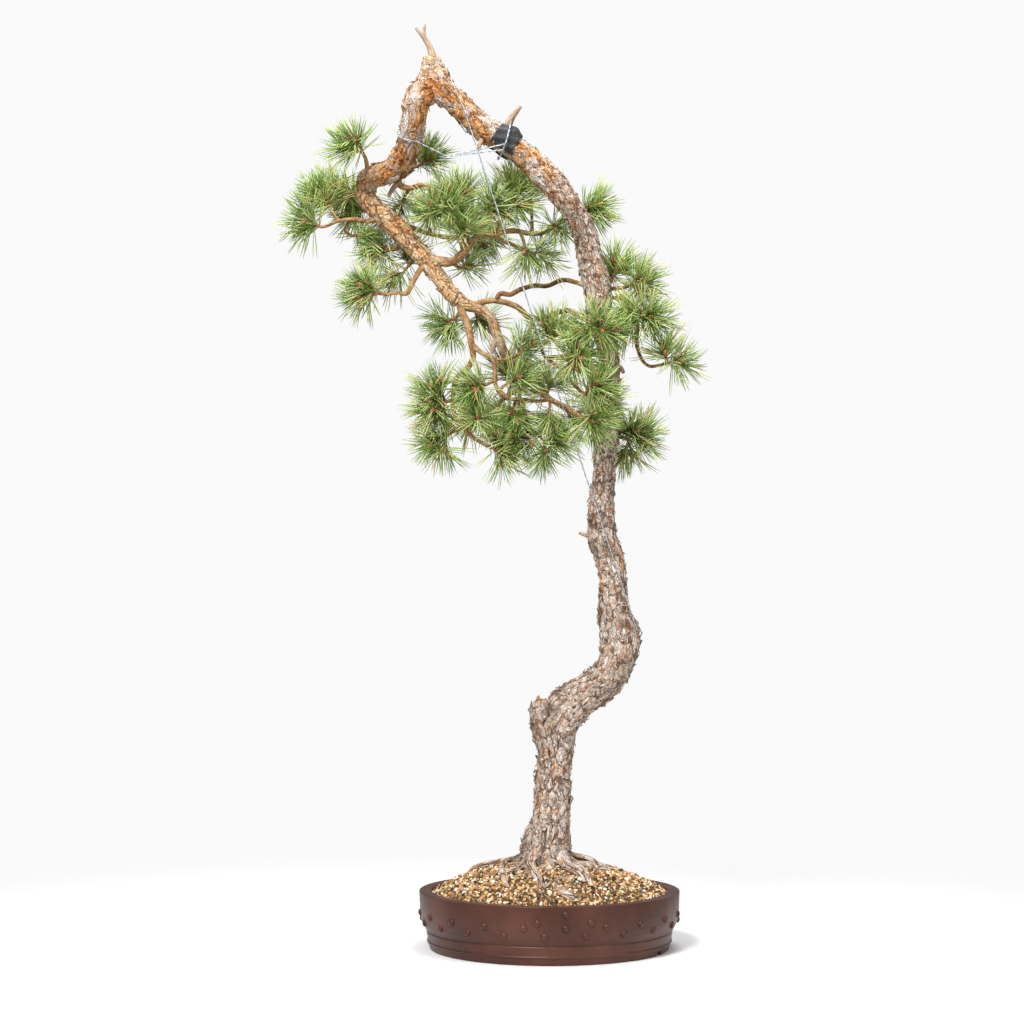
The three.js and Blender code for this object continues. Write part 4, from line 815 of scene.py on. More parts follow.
branch_lines = stem_lines("branch_lines", branch_paths)
shape_with(
    branch_lines, bark_shape, Sides=YOUNG_SIDES, Step=RING_STEP * MM, Relief=BRANCH_RELIEF,
    Plate=PLATE_WIDTH * MM, Lengthening=PLATE_LENGTHENING, Bark=bark,
)
branches = plain_piece(branch_lines, "branches")
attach(branches, "root")

# Loose scales: thin flakes of the same cork that lift off the old bark and rough up its outline.
# Each one lies along its stem and takes the colour of the bark that it grew on.
FLAKE_LENGTH = 6.2
FLAKES_PER_M2 = 18000.0
flake_points = [(-0.5, -0.3, 0), (-0.1, -0.42, 0.05), (0.5, -0.22, 0.16), (0.55, 0.2, 0.17),
                (0, 0.4, 0.06), (-0.5, 0.25, 0), (0, 0, 0.16), (0, 0, -0.03)]
flake_faces = [(0, 1, 6), (1, 2, 6), (2, 3, 6), (3, 4, 6), (4, 5, 6), (5, 0, 6)]
flake_faces += [(b, a, 7) for a, b, c in flake_faces]
flake = new_object("flake", mesh_of("flake", flake_points, (), flake_faces))


def turned(tree, rotation, *turns):
    """A rotation turned about its own axes, one after another, each by its angle."""
    for axis, angle in turns:
        turn = add(tree, "FunctionNodeAxisAngleToRotation", {"Axis": axis, "Angle": angle})
        rotation = add(tree, "FunctionNodeRotateRotation", {0: rotation, 1: turn}, rotation_space="LOCAL")
    return rotation


tree, given = new_shape(
    "loose_scales", ("Scale", "NodeSocketObject"), ("Length", "NodeSocketFloat"),
    ("Density", "NodeSocketFloat"), ("Seed", "NodeSocketInt"), ("Bark", "NodeSocketMaterial"),
)
stem_heading = add(
    tree, "GeometryNodeInputNamedAttribute", {"Name": "stem_heading"}, data_type="FLOAT_VECTOR",
)
scattered = add(
    tree, "GeometryNodeDistributePointsOnFaces",
    {"Mesh": given["Geometry"], "Density": given["Density"], "Seed": given["Seed"]},
)
standing = add(tree, "FunctionNodeAlignRotationToVector", {"Vector": scattered.outputs["Normal"]}, axis="Z")
lying = add(
    tree, "FunctionNodeAlignRotationToVector", {0: standing, "Vector": stem_heading}, axis="X",
    pivot_axis="Z",
)
spin = add(tree, "FunctionNodeRandomValue", {2: -0.5, 3: 0.5, "Seed": 3}, data_type="FLOAT")
flip = add(tree, "FunctionNodeRandomValue", {4: 0, 5: 1, "Seed": 4}, data_type="INT")
half_turn = add(
    tree, "ShaderNodeMath", {0: flip.outputs[2], 1: math.pi, 2: spin.outputs[1]}, operation="MULTIPLY_ADD",
)
lift = add(tree, "FunctionNodeRandomValue", {2: -0.34, 3: 0.0, "Seed": 5}, data_type="FLOAT")
tilted = turned(tree, lying, ((0, 0, 1), half_turn), ((0, 1, 0), lift.outputs[1]))
big = add(
    tree, "FunctionNodeRandomValue", {0: (0.4, 0.4, 0.5), 1: (1.4, 1.5, 1.6), "Seed": 6},
    data_type="FLOAT_VECTOR",
)
big = add(tree, "ShaderNodeVectorMath", {0: big, "Scale": given["Length"]}, operation="SCALE")
scale_mesh = add(tree, "GeometryNodeObjectInfo", {"Object": given["Scale"], "As Instance": True})
rooted = add(
    tree, "GeometryNodeStoreNamedAttribute",
    {0: scattered.outputs["Points"], "Name": "flake_root", "Value": add(tree, "GeometryNodeInputPosition")},
    data_type="FLOAT_VECTOR", domain="POINT",
)
laid = add(
    tree, "GeometryNodeInstanceOnPoints",
    {"Points": rooted, "Instance": scale_mesh.outputs["Geometry"], "Rotation": tilted, "Scale": big},
)
solid = add(tree, "GeometryNodeRealizeInstances", {0: laid})
own_place = add(tree, "GeometryNodeInputNamedAttribute", {"Name": "flake_root"}, data_type="FLOAT_VECTOR")
own_place = add(
    tree, "ShaderNodeVectorMath", {0: add(tree, "GeometryNodeInputPosition"), 1: own_place},
    operation="SUBTRACT",
)
root_place = add(tree, "GeometryNodeInputNamedAttribute", {"Name": "bark_place"}, data_type="FLOAT_VECTOR")
own_place = add(tree, "ShaderNodeVectorMath", {0: own_place, 1: root_place})
grained = add(
    tree, "GeometryNodeStoreNamedAttribute", {0: solid, "Name": "bark_place", "Value": own_place},
    data_type="FLOAT_VECTOR", domain="POINT",
)
clad = add(tree, "GeometryNodeSetMaterial", {0: grained, "Material": given["Bark"]})
add(tree, "NodeGroupOutput", {0: clad})
flaked = new_object("flaked", trunk.data.copy())
shape_with(flaked, tree, Scale=flake, Length=FLAKE_LENGTH * MM, Density=FLAKES_PER_M2, Seed=7, Bark=bark)
loose_scales = plain_piece(flaked, "loose_bark_scales")
bpy.data.objects.remove(flake)
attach(loose_scales, "root")

# The snags: old branch stubs whose bark has gone. The bare wood is weathered to a grey tan, with
# its fibres split along the grain.
SNAGS = [
    ["trunk", [[-58, 880, -10, 7], [-58, 890, -9, 4.2], [-61, 901, -8, 3.2], [-67, 911, -8, 2.4]]],
    ["snag_0", [[-66, 909, -8, 2.2], [-71, 915, -9, 1.7], [-75, 920, -9, 1.2]]],
    ["snag_0", [[-66, 909, -8, 2.2], [-66.5, 916, -7, 1.5], [-65.5, 923, -7, 0.9]]],
    ["trunk", [[16, 806, -7, 5], [20, 826, -9, 4], [31, 841, -12, 1.6]]],
    ["trunk", [[-5, 812, -9, 3], [-11, 801, -13, 2.4], [-12, 796, -14, 1.6]]],
    ["trunk", [[104, 404, 6, 3], [96, 410, 4, 2.4], [89, 412, 3, 1.4]]],
    ["trunk", [[118, 580, 2, 4], [131, 577, -1, 2.6], [134, 572, -2, 1.6]]],
    ["trunk", [[130, 304, 10, 5], [133, 303, 28, 3.4], [134, 304, 40, 2.6]]],
    ["fork_right", [[8, 606, -47, 4], [3, 599, -50, 3], [2, 592, -51, 1.8]]],
    ["upper_arch", [[-90, 764, -36, 3], [-98, 757, -38, 2.6], [-102, 750, -39, 1.8]]],
]
WOOD_FIBRES_PER_M = 1500.0
deadwood, tree, shader = new_material("weathered_deadwood")
bark_place = add(tree, "ShaderNodeAttribute", attribute_name="bark_place").outputs["Vector"]
long_grain = add(tree, "ShaderNodeMapping", {"Vector": bark_place, "Scale": (1, 1, 0.2)})
grain = add(tree, "ShaderNodeTexNoise", {"Vector": long_grain, "Scale": WOOD_FIBRES_PER_M, "Detail": 4.0})
wood_colour = add(tree, "ShaderNodeValToRGB", {"Fac": grain})
set_stops(wood_colour, [(0.3, "#7b6350"), (0.5, "#b0937a"), (0.7, "#cdb8a2")])
bump = add(tree, "ShaderNodeBump", {"Height": grain, "Strength": 0.5, "Distance": 0.4 * MM})
set_inputs(
    shader, {"Base Color": wood_colour, "Normal": bump, "Roughness": 0.8, "Specular IOR Level": 0.25},
)
snag_paths = []
for i, (parent, points) in enumerate(SNAGS):
    if parent in BRANCHES:
        points = [swung(*row) for row in points]
    snag_paths.append(grow(f"snag_{i}", points, parent))
snag_lines = stem_lines("snag_lines", snag_paths)
SNAG_SIDES = 14
SNAG_RING_STEP = 1.2
SNAG_RELIEF = 0.1
WOOD_RIDGE = 2.6
shape_with(
    snag_lines, bark_shape, Sides=SNAG_SIDES, Step=SNAG_RING_STEP * MM, Relief=SNAG_RELIEF,
    Plate=WOOD_RIDGE * MM, Lengthening=8.0, Bark=deadwood,
)
snags = plain_piece(snag_lines, "snags")
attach(snags, "root")

# The soil: a gritty mix heaped towards the trunk, of baked clay, pumice, lava and bark crumbs. A
# dark bed carries the grains that show; it stands for the fine soil and is painted dark with the shade in the
# gaps between grains.
SOIL_RIM_HEIGHT = 53.5
SOIL_MOUND = 32
SOIL_WAVE = 1.1
SOIL_RADIUS = POT_RADIUS - POT_WALL - 0.4
SOIL_UNDERSIDE = POT_FLOOR_TOP + 1.6
SOIL_RINGS = 40
SOIL_SIDES = 96
GRAIN_SIZE = 3.2
GRAINS_PER_M2 = 154000.0
PORES_PER_M = 1400.0
CRUMBS_PER_M = 700.0


def soil_height(x, y):
    """The height of the soil over a place in the pot, in millimetres."""
    out = min(1, math.hypot(x - POT_CENTRE.x / MM, y) / SOIL_RADIUS)
    waves = SOIL_WAVE * math.sin(0.11 * x + 1) * math.cos(0.13 * y)
    return SOIL_RIM_HEIGHT + SOIL_MOUND * (1 - out * out) ** 0.9 + waves * (1 - out)


soil_points = [Vector((POT_CENTRE.x / MM, 0, soil_height(POT_CENTRE.x / MM, 0))) * MM]
soil_faces = []
for ring in range(1, SOIL_RINGS + 1):
    for side in range(SOIL_SIDES):
        turn = side / SOIL_SIDES * math.tau
        x = POT_CENTRE.x / MM + SOIL_RADIUS * ring / SOIL_RINGS * math.cos(turn)
        y = SOIL_RADIUS * ring / SOIL_RINGS * math.sin(turn)
        soil_points.append(Vector((x, y, soil_height(x, y))) * MM)
        here = 1 + (ring - 1) * SOIL_SIDES + side
        beside = 1 + (ring - 1) * SOIL_SIDES + (side + 1) % SOIL_SIDES
        if ring == 1:
            soil_faces.append((0, here, beside))
        else:
            soil_faces.append((here - SOIL_SIDES, here, beside, beside - SOIL_SIDES))
rim = [1 + (SOIL_RINGS - 1) * SOIL_SIDES + side for side in range(SOIL_SIDES)]
foot = [len(soil_points) + side for side in range(SOIL_SIDES)]
soil_points += [Vector((soil_points[i].x, soil_points[i].y, SOIL_UNDERSIDE * MM)) for i in rim]
for side in range(SOIL_SIDES):
    beside = (side + 1) % SOIL_SIDES
    soil_faces.append((rim[side], foot[side], foot[beside], rim[beside]))
soil_faces.append(tuple(reversed(foot)))

grit, tree, shader = new_material("bonsai_grit")
grain_tint = add(tree, "ShaderNodeAttribute", attribute_name="grain_tint").outputs["Fac"]
place = add(tree, "ShaderNodeTexCoord").outputs["Object"]
pores = add(tree, "ShaderNodeTexNoise", {"Vector": place, "Scale": PORES_PER_M, "Detail": 3.0})
grain_colour = add(tree, "ShaderNodeValToRGB", {"Fac": grain_tint})
grain_colour.color_ramp.interpolation = "CONSTANT"
set_stops(grain_colour, [
    (0, "#dcb27c"), (0.16, "#ab8157"), (0.28, "#5e4735"), (0.38, "#efd8b0"), (0.5, "#c89a68"),
    (0.63, "#93824a"), (0.69, "#866245"), (0.79, "#f6ebd9"), (0.88, "#3f3125"), (0.98, "#bd7a4c"),
])
pore_shade = add(tree, "ShaderNodeMapRange", {0: pores, 1: 0.3, 2: 0.7, 3: 0.7, 4: 1.2})
grain_look = add(
    tree, "ShaderNodeMix", {0: 1.0, 6: grain_colour, 7: pore_shade}, data_type="RGBA",
    blend_type="MULTIPLY",
)
bump = add(tree, "ShaderNodeBump", {"Height": pores, "Strength": 0.6, "Distance": 0.3 * MM})
set_inputs(
    shader,
    {"Base Color": grain_look.outputs[2], "Normal": bump, "Roughness": 0.9, "Specular IOR Level": 0.2},
)
# Painted shade: the bed is much darker than the grains, as the gaps between them would be in shade.
fines_and_gap_shade, tree, shader = new_material("soil_fines_and_gap_shade")
place = add(tree, "ShaderNodeTexCoord").outputs["Object"]
crumbs = add(tree, "ShaderNodeTexNoise", {"Vector": place, "Scale": CRUMBS_PER_M, "Detail": 4.0})
fines_and_gap_shade_colour = add(tree, "ShaderNodeValToRGB", {"Fac": crumbs})
set_stops(fines_and_gap_shade_colour, [(0.3, "#33291d"), (0.6, "#5a4831")])
set_inputs(shader, {"Base Color": fines_and_gap_shade_colour, "Roughness": 0.95})

tree, given = new_shape(
    "strewn_grains", ("Grain", "NodeSocketFloat"), ("Density", "NodeSocketFloat"),
    ("Seed", "NodeSocketInt"), ("Grit", "NodeSocketMaterial"),
)
upward = add(tree, "ShaderNodeSeparateXYZ", {0: add(tree, "GeometryNodeInputNormal")})
on_top = add(
    tree, "FunctionNodeCompare", {0: upward.outputs[2], 1: 0.5}, data_type="FLOAT",
    operation="GREATER_THAN",
)
strewn = add(
    tree, "GeometryNodeDistributePointsOnFaces",
    {"Mesh": given["Geometry"], "Selection": on_top, "Density": given["Density"], "Seed": given["Seed"]},
)
chip = add(tree, "GeometryNodeMeshIcoSphere", {"Radius": 0.5, "Subdivisions": 1})
tumble = add(
    tree, "FunctionNodeRandomValue", {0: (0, 0, 0), 1: (6.28, 6.28, 6.28), "Seed": 2},
    data_type="FLOAT_VECTOR",
)
tumbled = add(tree, "FunctionNodeEulerToRotation", {0: tumble})
uneven = add(
    tree, "FunctionNodeRandomValue", {0: (0.55, 0.6, 0.4), 1: (1.5, 1.3, 1.0), "Seed": 3},
    data_type="FLOAT_VECTOR",
)
sizes = add(tree, "FunctionNodeRandomValue", {2: 0.0, 3: 1.0, "Seed": 4}, data_type="FLOAT")
sizes = add(tree, "ShaderNodeMath", {0: sizes.outputs[1], 1: 3.0}, operation="POWER")
sizes = add(tree, "ShaderNodeMapRange", {0: sizes, 3: 0.6, 4: 1.7})
chip_size = add(tree, "ShaderNodeMath", {0: sizes, 1: given["Grain"]}, operation="MULTIPLY")
chip_scale = add(tree, "ShaderNodeVectorMath", {0: uneven, "Scale": chip_size}, operation="SCALE")
heaped = add(
    tree, "GeometryNodeInstanceOnPoints",
    {"Points": strewn.outputs["Points"], "Instance": chip.outputs["Mesh"],
     "Rotation": tumbled, "Scale": chip_scale},
)
tint = add(tree, "FunctionNodeRandomValue", {2: 0.0, 3: 1.0, "Seed": 5}, data_type="FLOAT")
tinted = add(
    tree, "GeometryNodeStoreNamedAttribute", {0: heaped, "Name": "grain_tint", "Value": tint.outputs[1]},
    data_type="FLOAT", domain="INSTANCE",
)
solid = add(tree, "GeometryNodeRealizeInstances", {0: tinted})
clad = add(tree, "GeometryNodeSetMaterial", {0: solid, "Material": given["Grit"]})
joined = add(tree, "GeometryNodeJoinGeometry", {0: clad})
set_inputs(joined, {0: given["Geometry"]})
add(tree, "NodeGroupOutput", {0: joined})
soil_bed = new_object("soil_bed", mesh_of("soil_bed", soil_points, (), soil_faces))
soil_bed.data.materials.append(fines_and_gap_shade)
shape_with(soil_bed, tree, Grain=GRAIN_SIZE * MM, Density=GRAINS_PER_M2, Seed=11, Grit=grit)
soil = plain_piece(soil_bed, "soil_mix")
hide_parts("soil")
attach(soil, "root")

# The surface roots: they flare out of the trunk's foot, wind over the soil and dive into it. Their
# bark is thin, grey and wrinkled. Each row is [x, y, height above the soil, radius].
ROOTS = [
    [[45, 0, 8, 7], [25, 0, 5, 3.2], [10, 6, 4, 2.6], [-6, 14, 5, 2.3], [-18, 20, 3, 2], [-26, 24, -5, 1.6]],
    [[17, 3, 4, 2.6], [12, -20, 2, 2.8], [13, -45, 1, 2.8], [15, -64, 0, 2.6], [24, -86, -5, 1.8]],
    [[48, -8, 10, 9], [41, -30, 4, 5], [44, -52, 1, 4], [50, -78, 0, 3.4], [52, -92, -6, 2.6]],
    [[44, -14, 7, 5], [32, -28, 2, 2.6], [25, -40, -5, 1.8]],
    [[66, -8, 9, 8], [78, -30, 4, 3.6], [90, -42, 3, 2.8], [97, -66, 1, 2.5], [103, -90, -5, 1.8]],
    [[70, -20, 5, 5], [76, -46, 2, 2.6], [88, -58, 2, 2.2], [95, -80, -4, 1.6]],
    [[84, -62, -3, 2], [72, -66, 1.5, 2], [62, -74, 1, 1.8], [52, -90, 0, 1.7], [46, -102, -5, 1.4]],
    [[68, 4, 10, 7], [82, 8, 6, 3.2], [94, 12, 5, 2.8], [106, 9, 2, 2.6], [116, 4, -5, 2]],
    [[46, 12, 8, 8], [32, 32, 2, 4], [20, 54, 0, 3], [12, 72, -5, 2]],
    [[62, 12, 8, 8], [74, 36, 2, 4], [80, 58, 0, 3], [92, 76, -5, 2]],
    [[58, -10, 4, 7], [61, -50, -4, 4.5], [67, -86, -2, 4.2], [74, -96, 0, 4.5], [83, -103, 1, 4]],
]
FINE_ROOTS = 34
FOOT = (56, 0)
ROOT_ROWS = 7
ROOT_SIDES = 20
ROOT_RELIEF = 0.13
random.seed(21)
for i in range(FINE_ROOTS):
    turn = i / FINE_ROOTS * math.tau + random.uniform(-0.1, 0.1)
    out = random.uniform(20, 26)
    lift = 5.0
    radius = random.uniform(0.8, 2.1)
    row = []
    while len(row) < ROOT_ROWS:
        x, y = FOOT[0] + out * math.cos(turn), FOOT[1] + out * math.sin(turn)
        row.append([x, y, lift if len(row) < ROOT_ROWS - 1 else -4, radius])
        out += random.uniform(5, 11)
        turn += random.uniform(-0.22, 0.22)
        lift = random.uniform(0.2, 1.8)
        radius *= random.uniform(0.82, 0.95)
    ROOTS.append(row)
root_paths = []
for points in ROOTS:
    rows = [(Vector((x, y, soil_height(x, y) + lift)) * MM, radius * MM) for x, y, lift, radius in points]
    root_paths.append(smooth_path(rows, 3 * MM))
root_lines = stem_lines("root_lines", root_paths)
shape_with(
    root_lines, bark_shape, Sides=ROOT_SIDES, Step=RING_STEP * MM, Relief=ROOT_RELIEF,
    Plate=PLATE_WIDTH * MM, Lengthening=4.0, Bark=bark,
)
roots = plain_piece(root_lines, "surface_roots")
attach(roots, "root")

# The shoots: this year's and last year's growth at the end of each leafy twig, reddish brown and
# rough with the stubs of scale leaves. Each ends in a resinous bud wrapped in papery scales.
# A row is the stem that the twig grows from, its route, and the tips of its shoots.
LEAFY_TWIGS = [
    ["limb_low", [[-120, 776, -34, 3], [-125, 788, -32, 2], [-128, 794, -31, 1.7]],
        [[-133, 808, -30], [-141, 800, -24]]],
    ["limb_low", [[-125, 757, -34, 3], [-136, 752, -20, 2]], [[-145, 745, -10], [-148, 758, -12]]],
    ["left_arm", [[-152, 725, -45, 1.7], [-161, 738, -36, 1.6]],
        [[-170, 745, -32], [-177, 754, -26], [-164, 758, -24]]],
    ["left_arm", [[-164, 720, -47, 1.7], [-170, 719, -47, 1.6]], [[-180, 721, -46], [-189, 731, -44]]],
    ["left_arm", [[-138, 727, -43, 1.8], [-146, 716, -34, 1.5], [-138, 710, -24, 1.4]], [[-124, 713, -12]]],
    ["low_left_arm", [[-104, 651, -56, 1.8], [-112, 652, -57, 1.6]],
        [[-125, 657, -58], [-132, 649, -62], [-126, 652, -48]]],
    ["limb_low", [[-84, 706, -42, 2.6], [-94, 697, -26, 1.9], [-101, 696, -16, 1.7]],
        [[-113, 700, -10], [-111, 692, -2]]],
    ["limb_low", [[-72, 692, -43, 2.6], [-82, 680, -24, 1.7]], [[-94, 667, -14], [-85, 689, -6]]],
    ["limb_top", [[-88, 782, -26, 3], [-79, 779, -12, 2], [-72, 780, -6, 1.7]],
        [[-62, 790, -2], [-66, 788, 10]]],
    ["upper_arch", [[-81, 758, -42, 2.2], [-86, 749, -26, 1.7]], [[-90, 737, -10]]],
    ["upper_arch", [[-47, 740, -60, 2.1], [-48, 738, -55, 1.8]],
        [[-49, 735, -68], [-60, 732, -67], [-38, 741, -68]]],
    ["mid_arm", [[-20, 703, -57, 2.6], [-26, 722, -54, 2], [-30, 738, -50, 1.7]],
        [[-36, 756, -47], [-24, 757, -52]]],
    ["mid_arm", [[-10, 711, -60, 2.4], [-8, 722, -58, 1.9], [-3, 731, -56, 1.7]],
        [[2, 741, -68], [11, 738, -66]]],
    ["mid_arm", [[-24, 697, -55, 2.4], [-28, 706, -63, 1.8]], [[-33, 717, -66], [-22, 720, -66]]],
    ["mid_arm", [[5, 713, -61, 2.2], [14, 730, -52, 1.8], [18, 746, -46, 1.6]],
        [[19, 763, -44], [30, 758, -40], [31, 740, -58]]],
    ["mid_arm", [[42, 712, -46, 2], [42, 728, -32, 1.7], [41, 742, -22, 1.6]], [[41, 757, -14]]],
    ["mid_arm", [[30, 714, -54, 2], [34, 704, -56, 1.7]], [[39, 690, -62]]],
    ["mid_arm", [[54, 713, -30, 2], [60, 720, -34, 1.6]], [[67, 722, -48]]],
    ["mid_arm", [[84, 731, 18, 1.8], [92, 736, 20, 1.6]], [[102, 742, 24], [105, 731, 28]]],
    ["mid_arm", [[-39, 684, -49, 2.4], [-31, 678, -34, 1.8]], [[-19, 680, -24]]],
    ["mid_arm", [[0, 712, -61, 2.2], [20, 702, -54, 1.8], [40, 694, -44, 1.6]], [[55, 693, -36]]],
    ["fork_down", [[-29, 636, -42, 2.4], [-34, 628, -30, 1.7]], [[-40, 614, -20], [-49, 619, -12]]],
    ["fork_right", [[-12, 636, -42, 2.4], [-14, 631, -32, 1.7]], [[-13, 622, -22]]],
    ["fork_down", [[-37, 546, -56, 1.9], [-44, 543, -58, 1.7]],
        [[-60, 547, -63], [-55, 561, -60], [-60, 532, -62], [-52, 526, -64]]],
    ["fork_down", [[-32, 517, -58, 2], [-42, 510, -58, 1.6]], [[-56, 507, -54], [-51, 493, -63]]],
    ["fork_down", [[-18, 510, -58, 1.9], [-15, 518, -58, 1.6]], [[-12, 528, -66]]],
    ["fork_down", [[0, 498, -58, 1.9], [3, 497, -58, 1.7]], [[14, 489, -62], [10, 508, -60], [22, 496, -54]]],
    ["inner_arm", [[6, 566, -62, 1.9], [-3, 561, -64, 1.6]], [[-16, 563, -65], [-14, 552, -67]]],
    ["inner_arm", [[8, 554, -63, 1.9], [14, 560, -65, 1.6]], [[26, 566, -68]]],
    ["inner_arm", [[2, 588, -58, 2], [14, 586, -62, 1.7], [24, 589, -63, 1.6]], [[38, 598, -64]]],
    ["inner_arm", [[26, 546, -65, 1.8], [24, 540, -60, 1.6]], [[20, 530, -68]]],
    ["inner_arm", [[88, 531, -50, 1.6], [93, 527, -48, 1.6]], [[104, 519, -46], [104, 531, -58]]],
    ["inner_arm", [[60, 545, -58, 1.7], [60, 538, -63, 1.6]], [[60, 524, -66]]],
    ["low_drop", [[50, 509, -57, 1.7], [54, 504, -58, 1.6]], [[68, 506, -56], [55, 489, -64]]],
    ["low_drop", [[40, 518, -60, 1.7], [36, 511, -58, 1.6]], [[31, 501, -66]]],
    ["centre_drop", [[50, 602, -48, 1.9], [58, 604, -58, 1.6]], [[70, 613, -68], [60, 617, -66]]],
    ["centre_drop", [[56, 588, -52, 1.9], [68, 589, -58, 1.6], [76, 590, -61, 1.6]],
        [[90, 600, -66], [91, 587, -72], [86, 577, -74]]],
    ["centre_drop", [[90, 554, -50, 1.6], [95, 551, -50, 1.6]], [[111, 549, -50], [106, 563, -63]]],
    ["front_arm", [[99, 624, -33, 2.2], [103, 621, -36, 2]],
        [[112, 615, -56], [96, 610, -52], [120, 606, -42]]],
    ["back_arm", [[116, 657, 22, 2], [122, 666, 24, 1.8]], [[130, 678, 26], [120, 680, 36]]],
    ["back_arm", [[134, 658, 20, 2], [139, 660, 19, 1.8]], [[150, 667, 12], [158, 655, 8]]],
    ["right_drop", [[147, 632, 18, 2], [151, 628, 8, 1.6]],
        [[156, 634, -8], [163, 620, -2], [142, 634, -10], [140, 618, -8]]],
    ["right_drop", [[174, 581, 8, 1.6], [177, 582, 7, 1.5]], [[188, 585, 4], [176, 592, -6]]],
    ["rear_arm", [[132, 508, 27, 2], [137, 506, 22, 1.7]],
        [[150, 512, 12], [155, 501, 22], [142, 490, 26], [138, 516, 8]]],
    ["back_fill", [[-8, 530, 56, 1.9], [-11, 528, 58, 1.7]], [[-22, 524, 59], [-12, 541, 60], [0, 518, 57]]],
    ["back_fill", [[18, 550, 42, 2], [22, 562, 46, 1.7]], [[30, 578, 50], [12, 576, 54]]],
    ["back_fill", [[30, 556, 26, 2], [29, 542, 36, 1.7]], [[34, 527, 44], [16, 529, 46]]],
    ["rear_arm", [[56, 549, 26, 2], [58, 554, 42, 1.7]], [[62, 564, 58], [50, 556, 62]]],
    ["rear_arm", [[78, 535, 33, 2], [79, 530, 46, 1.7]], [[82, 523, 64], [70, 518, 60]]],
    ["rear_arm", [[102, 522, 34, 2], [104, 530, 44, 1.7]], [[112, 543, 54], [101, 548, 60]]],
    ["rear_upper", [[-20, 712, 68, 1.8], [-17, 713, 71, 1.7]],
        [[-4, 716, 78], [-12, 727, 77], [-8, 703, 82]]],
    ["rear_upper", [[-60, 712, 34, 2], [-62, 722, 45, 1.7]], [[-67, 735, 56], [-54, 737, 58]]],
    ["rear_upper", [[-92, 722, -16, 2.4], [-112, 730, -2, 2], [-126, 735, 4, 1.7]],
        [[-140, 742, 10], [-136, 729, 18]]],
]
SHOOT_RADIUS = 1.15
TWIG_SIDES = 10
TWIG_RING_STEP = 2
TWIG_RELIEF = 0.12
TWIG_PLATE = 2.6
SHOOT_SIDES = 8
SHOOT_RING_STEP = 1.5
SHOOT_RELIEF = 0.25
SHOOT_SCALE = 1.6
SCALES_PER_M = 900.0
BUD_LENGTH = 8.5
SIDE_SHOOTS = 2
twig_paths, shoot_paths = [], []
random.seed(5)


def any_way():
    """A vector of a length up to about one, any way round."""
    return Vector([random.uniform(-1, 1) for _ in range(3)])


def shoot_between(start, tip, width):
    """The path of a young shoot, a little bent."""
    middle = start.lerp(tip, 0.5) + any_way() * 1.2 * MM
    rows = [(start, 1.25 * width * MM), (middle, width * MM), (tip, 0.8 * width * MM)]
    return smooth_path(rows, 2 * MM)


for i, (parent, route, tips) in enumerate(LEAFY_TWIGS):
    twig_paths.append(grow(f"twig_{i}", [swung(*row) for row in route], parent))
    end = twig_paths[-1][-1][0]
    shoots = []
    for tip in tips:
        tip = placed(*swung(*tip))
        shoots.append(shoot_between(end, tip, SHOOT_RADIUS))
        ahead = (tip - end).normalized()
        for side in range(SIDE_SHOOTS):
            start = end.lerp(tip, random.uniform(0.3, 0.6))
            aside = ahead.cross(any_way()).normalized() * (1 if side else -1)
            way = (ahead + aside * random.uniform(0.7, 1.1) + Vector((0, 0, 0.25))).normalized()
            shoots.append(
                shoot_between(start, start + way * random.uniform(11, 17) * MM, 0.8 * SHOOT_RADIUS),
            )
    shoot_paths.append(shoots)
twig_lines = stem_lines("twig_lines", twig_paths)
shape_with(
    twig_lines, bark_shape, Sides=TWIG_SIDES, Step=TWIG_RING_STEP * MM, Relief=TWIG_RELIEF,
    Plate=TWIG_PLATE * MM, Lengthening=1.5, Bark=bark,
)
twigs = plain_piece(twig_lines, "twigs")
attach(twigs, "root")

shoot_bark, tree, shader = new_material("young_shoot_bark")
bark_place = add(tree, "ShaderNodeAttribute", attribute_name="bark_place").outputs["Vector"]
stubs = add(tree, "ShaderNodeTexVoronoi", {"Vector": bark_place, "Scale": SCALES_PER_M})
shoot_colour = add(tree, "ShaderNodeValToRGB", {"Fac": stubs})
set_stops(shoot_colour, [(0.1, "#cf8a62"), (0.45, "#a96444"), (0.8, "#703f2b")])
bump = add(tree, "ShaderNodeBump", {"Height": stubs, "Strength": 0.7, "Distance": -0.4 * MM})
set_inputs(shader, {"Base Color": shoot_colour, "Normal": bump, "Roughness": 0.7})
bud_scales, tree, shader = new_material("resinous_bud_scales")
place = add(tree, "ShaderNodeTexCoord").outputs["Object"]
scale_pattern = add(tree, "ShaderNodeTexVoronoi", {"Vector": place, "Scale": SCALES_PER_M})
bud_colour = add(tree, "ShaderNodeValToRGB", {"Fac": scale_pattern})
set_stops(bud_colour, [(0.1, "#e6ae92"), (0.45, "#c98263"), (0.8, "#9a563c")])
bump = add(tree, "ShaderNodeBump", {"Height": scale_pattern, "Strength": 0.6, "Distance": -0.3 * MM})
set_inputs(shader, {"Base Color": bud_colour, "Normal": bump, "Roughness": 0.5})

shoot_lines = stem_lines("shoot_lines", [path for shoots in shoot_paths for path in shoots])
shape_with(
    shoot_lines, bark_shape, Sides=SHOOT_SIDES, Step=SHOOT_RING_STEP * MM, Relief=SHOOT_RELIEF,
    Plate=SHOOT_SCALE * MM, Lengthening=1.0, Bark=shoot_bark,
)
shoots = plain_piece(shoot_lines, "shoots")
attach(shoots, "root")

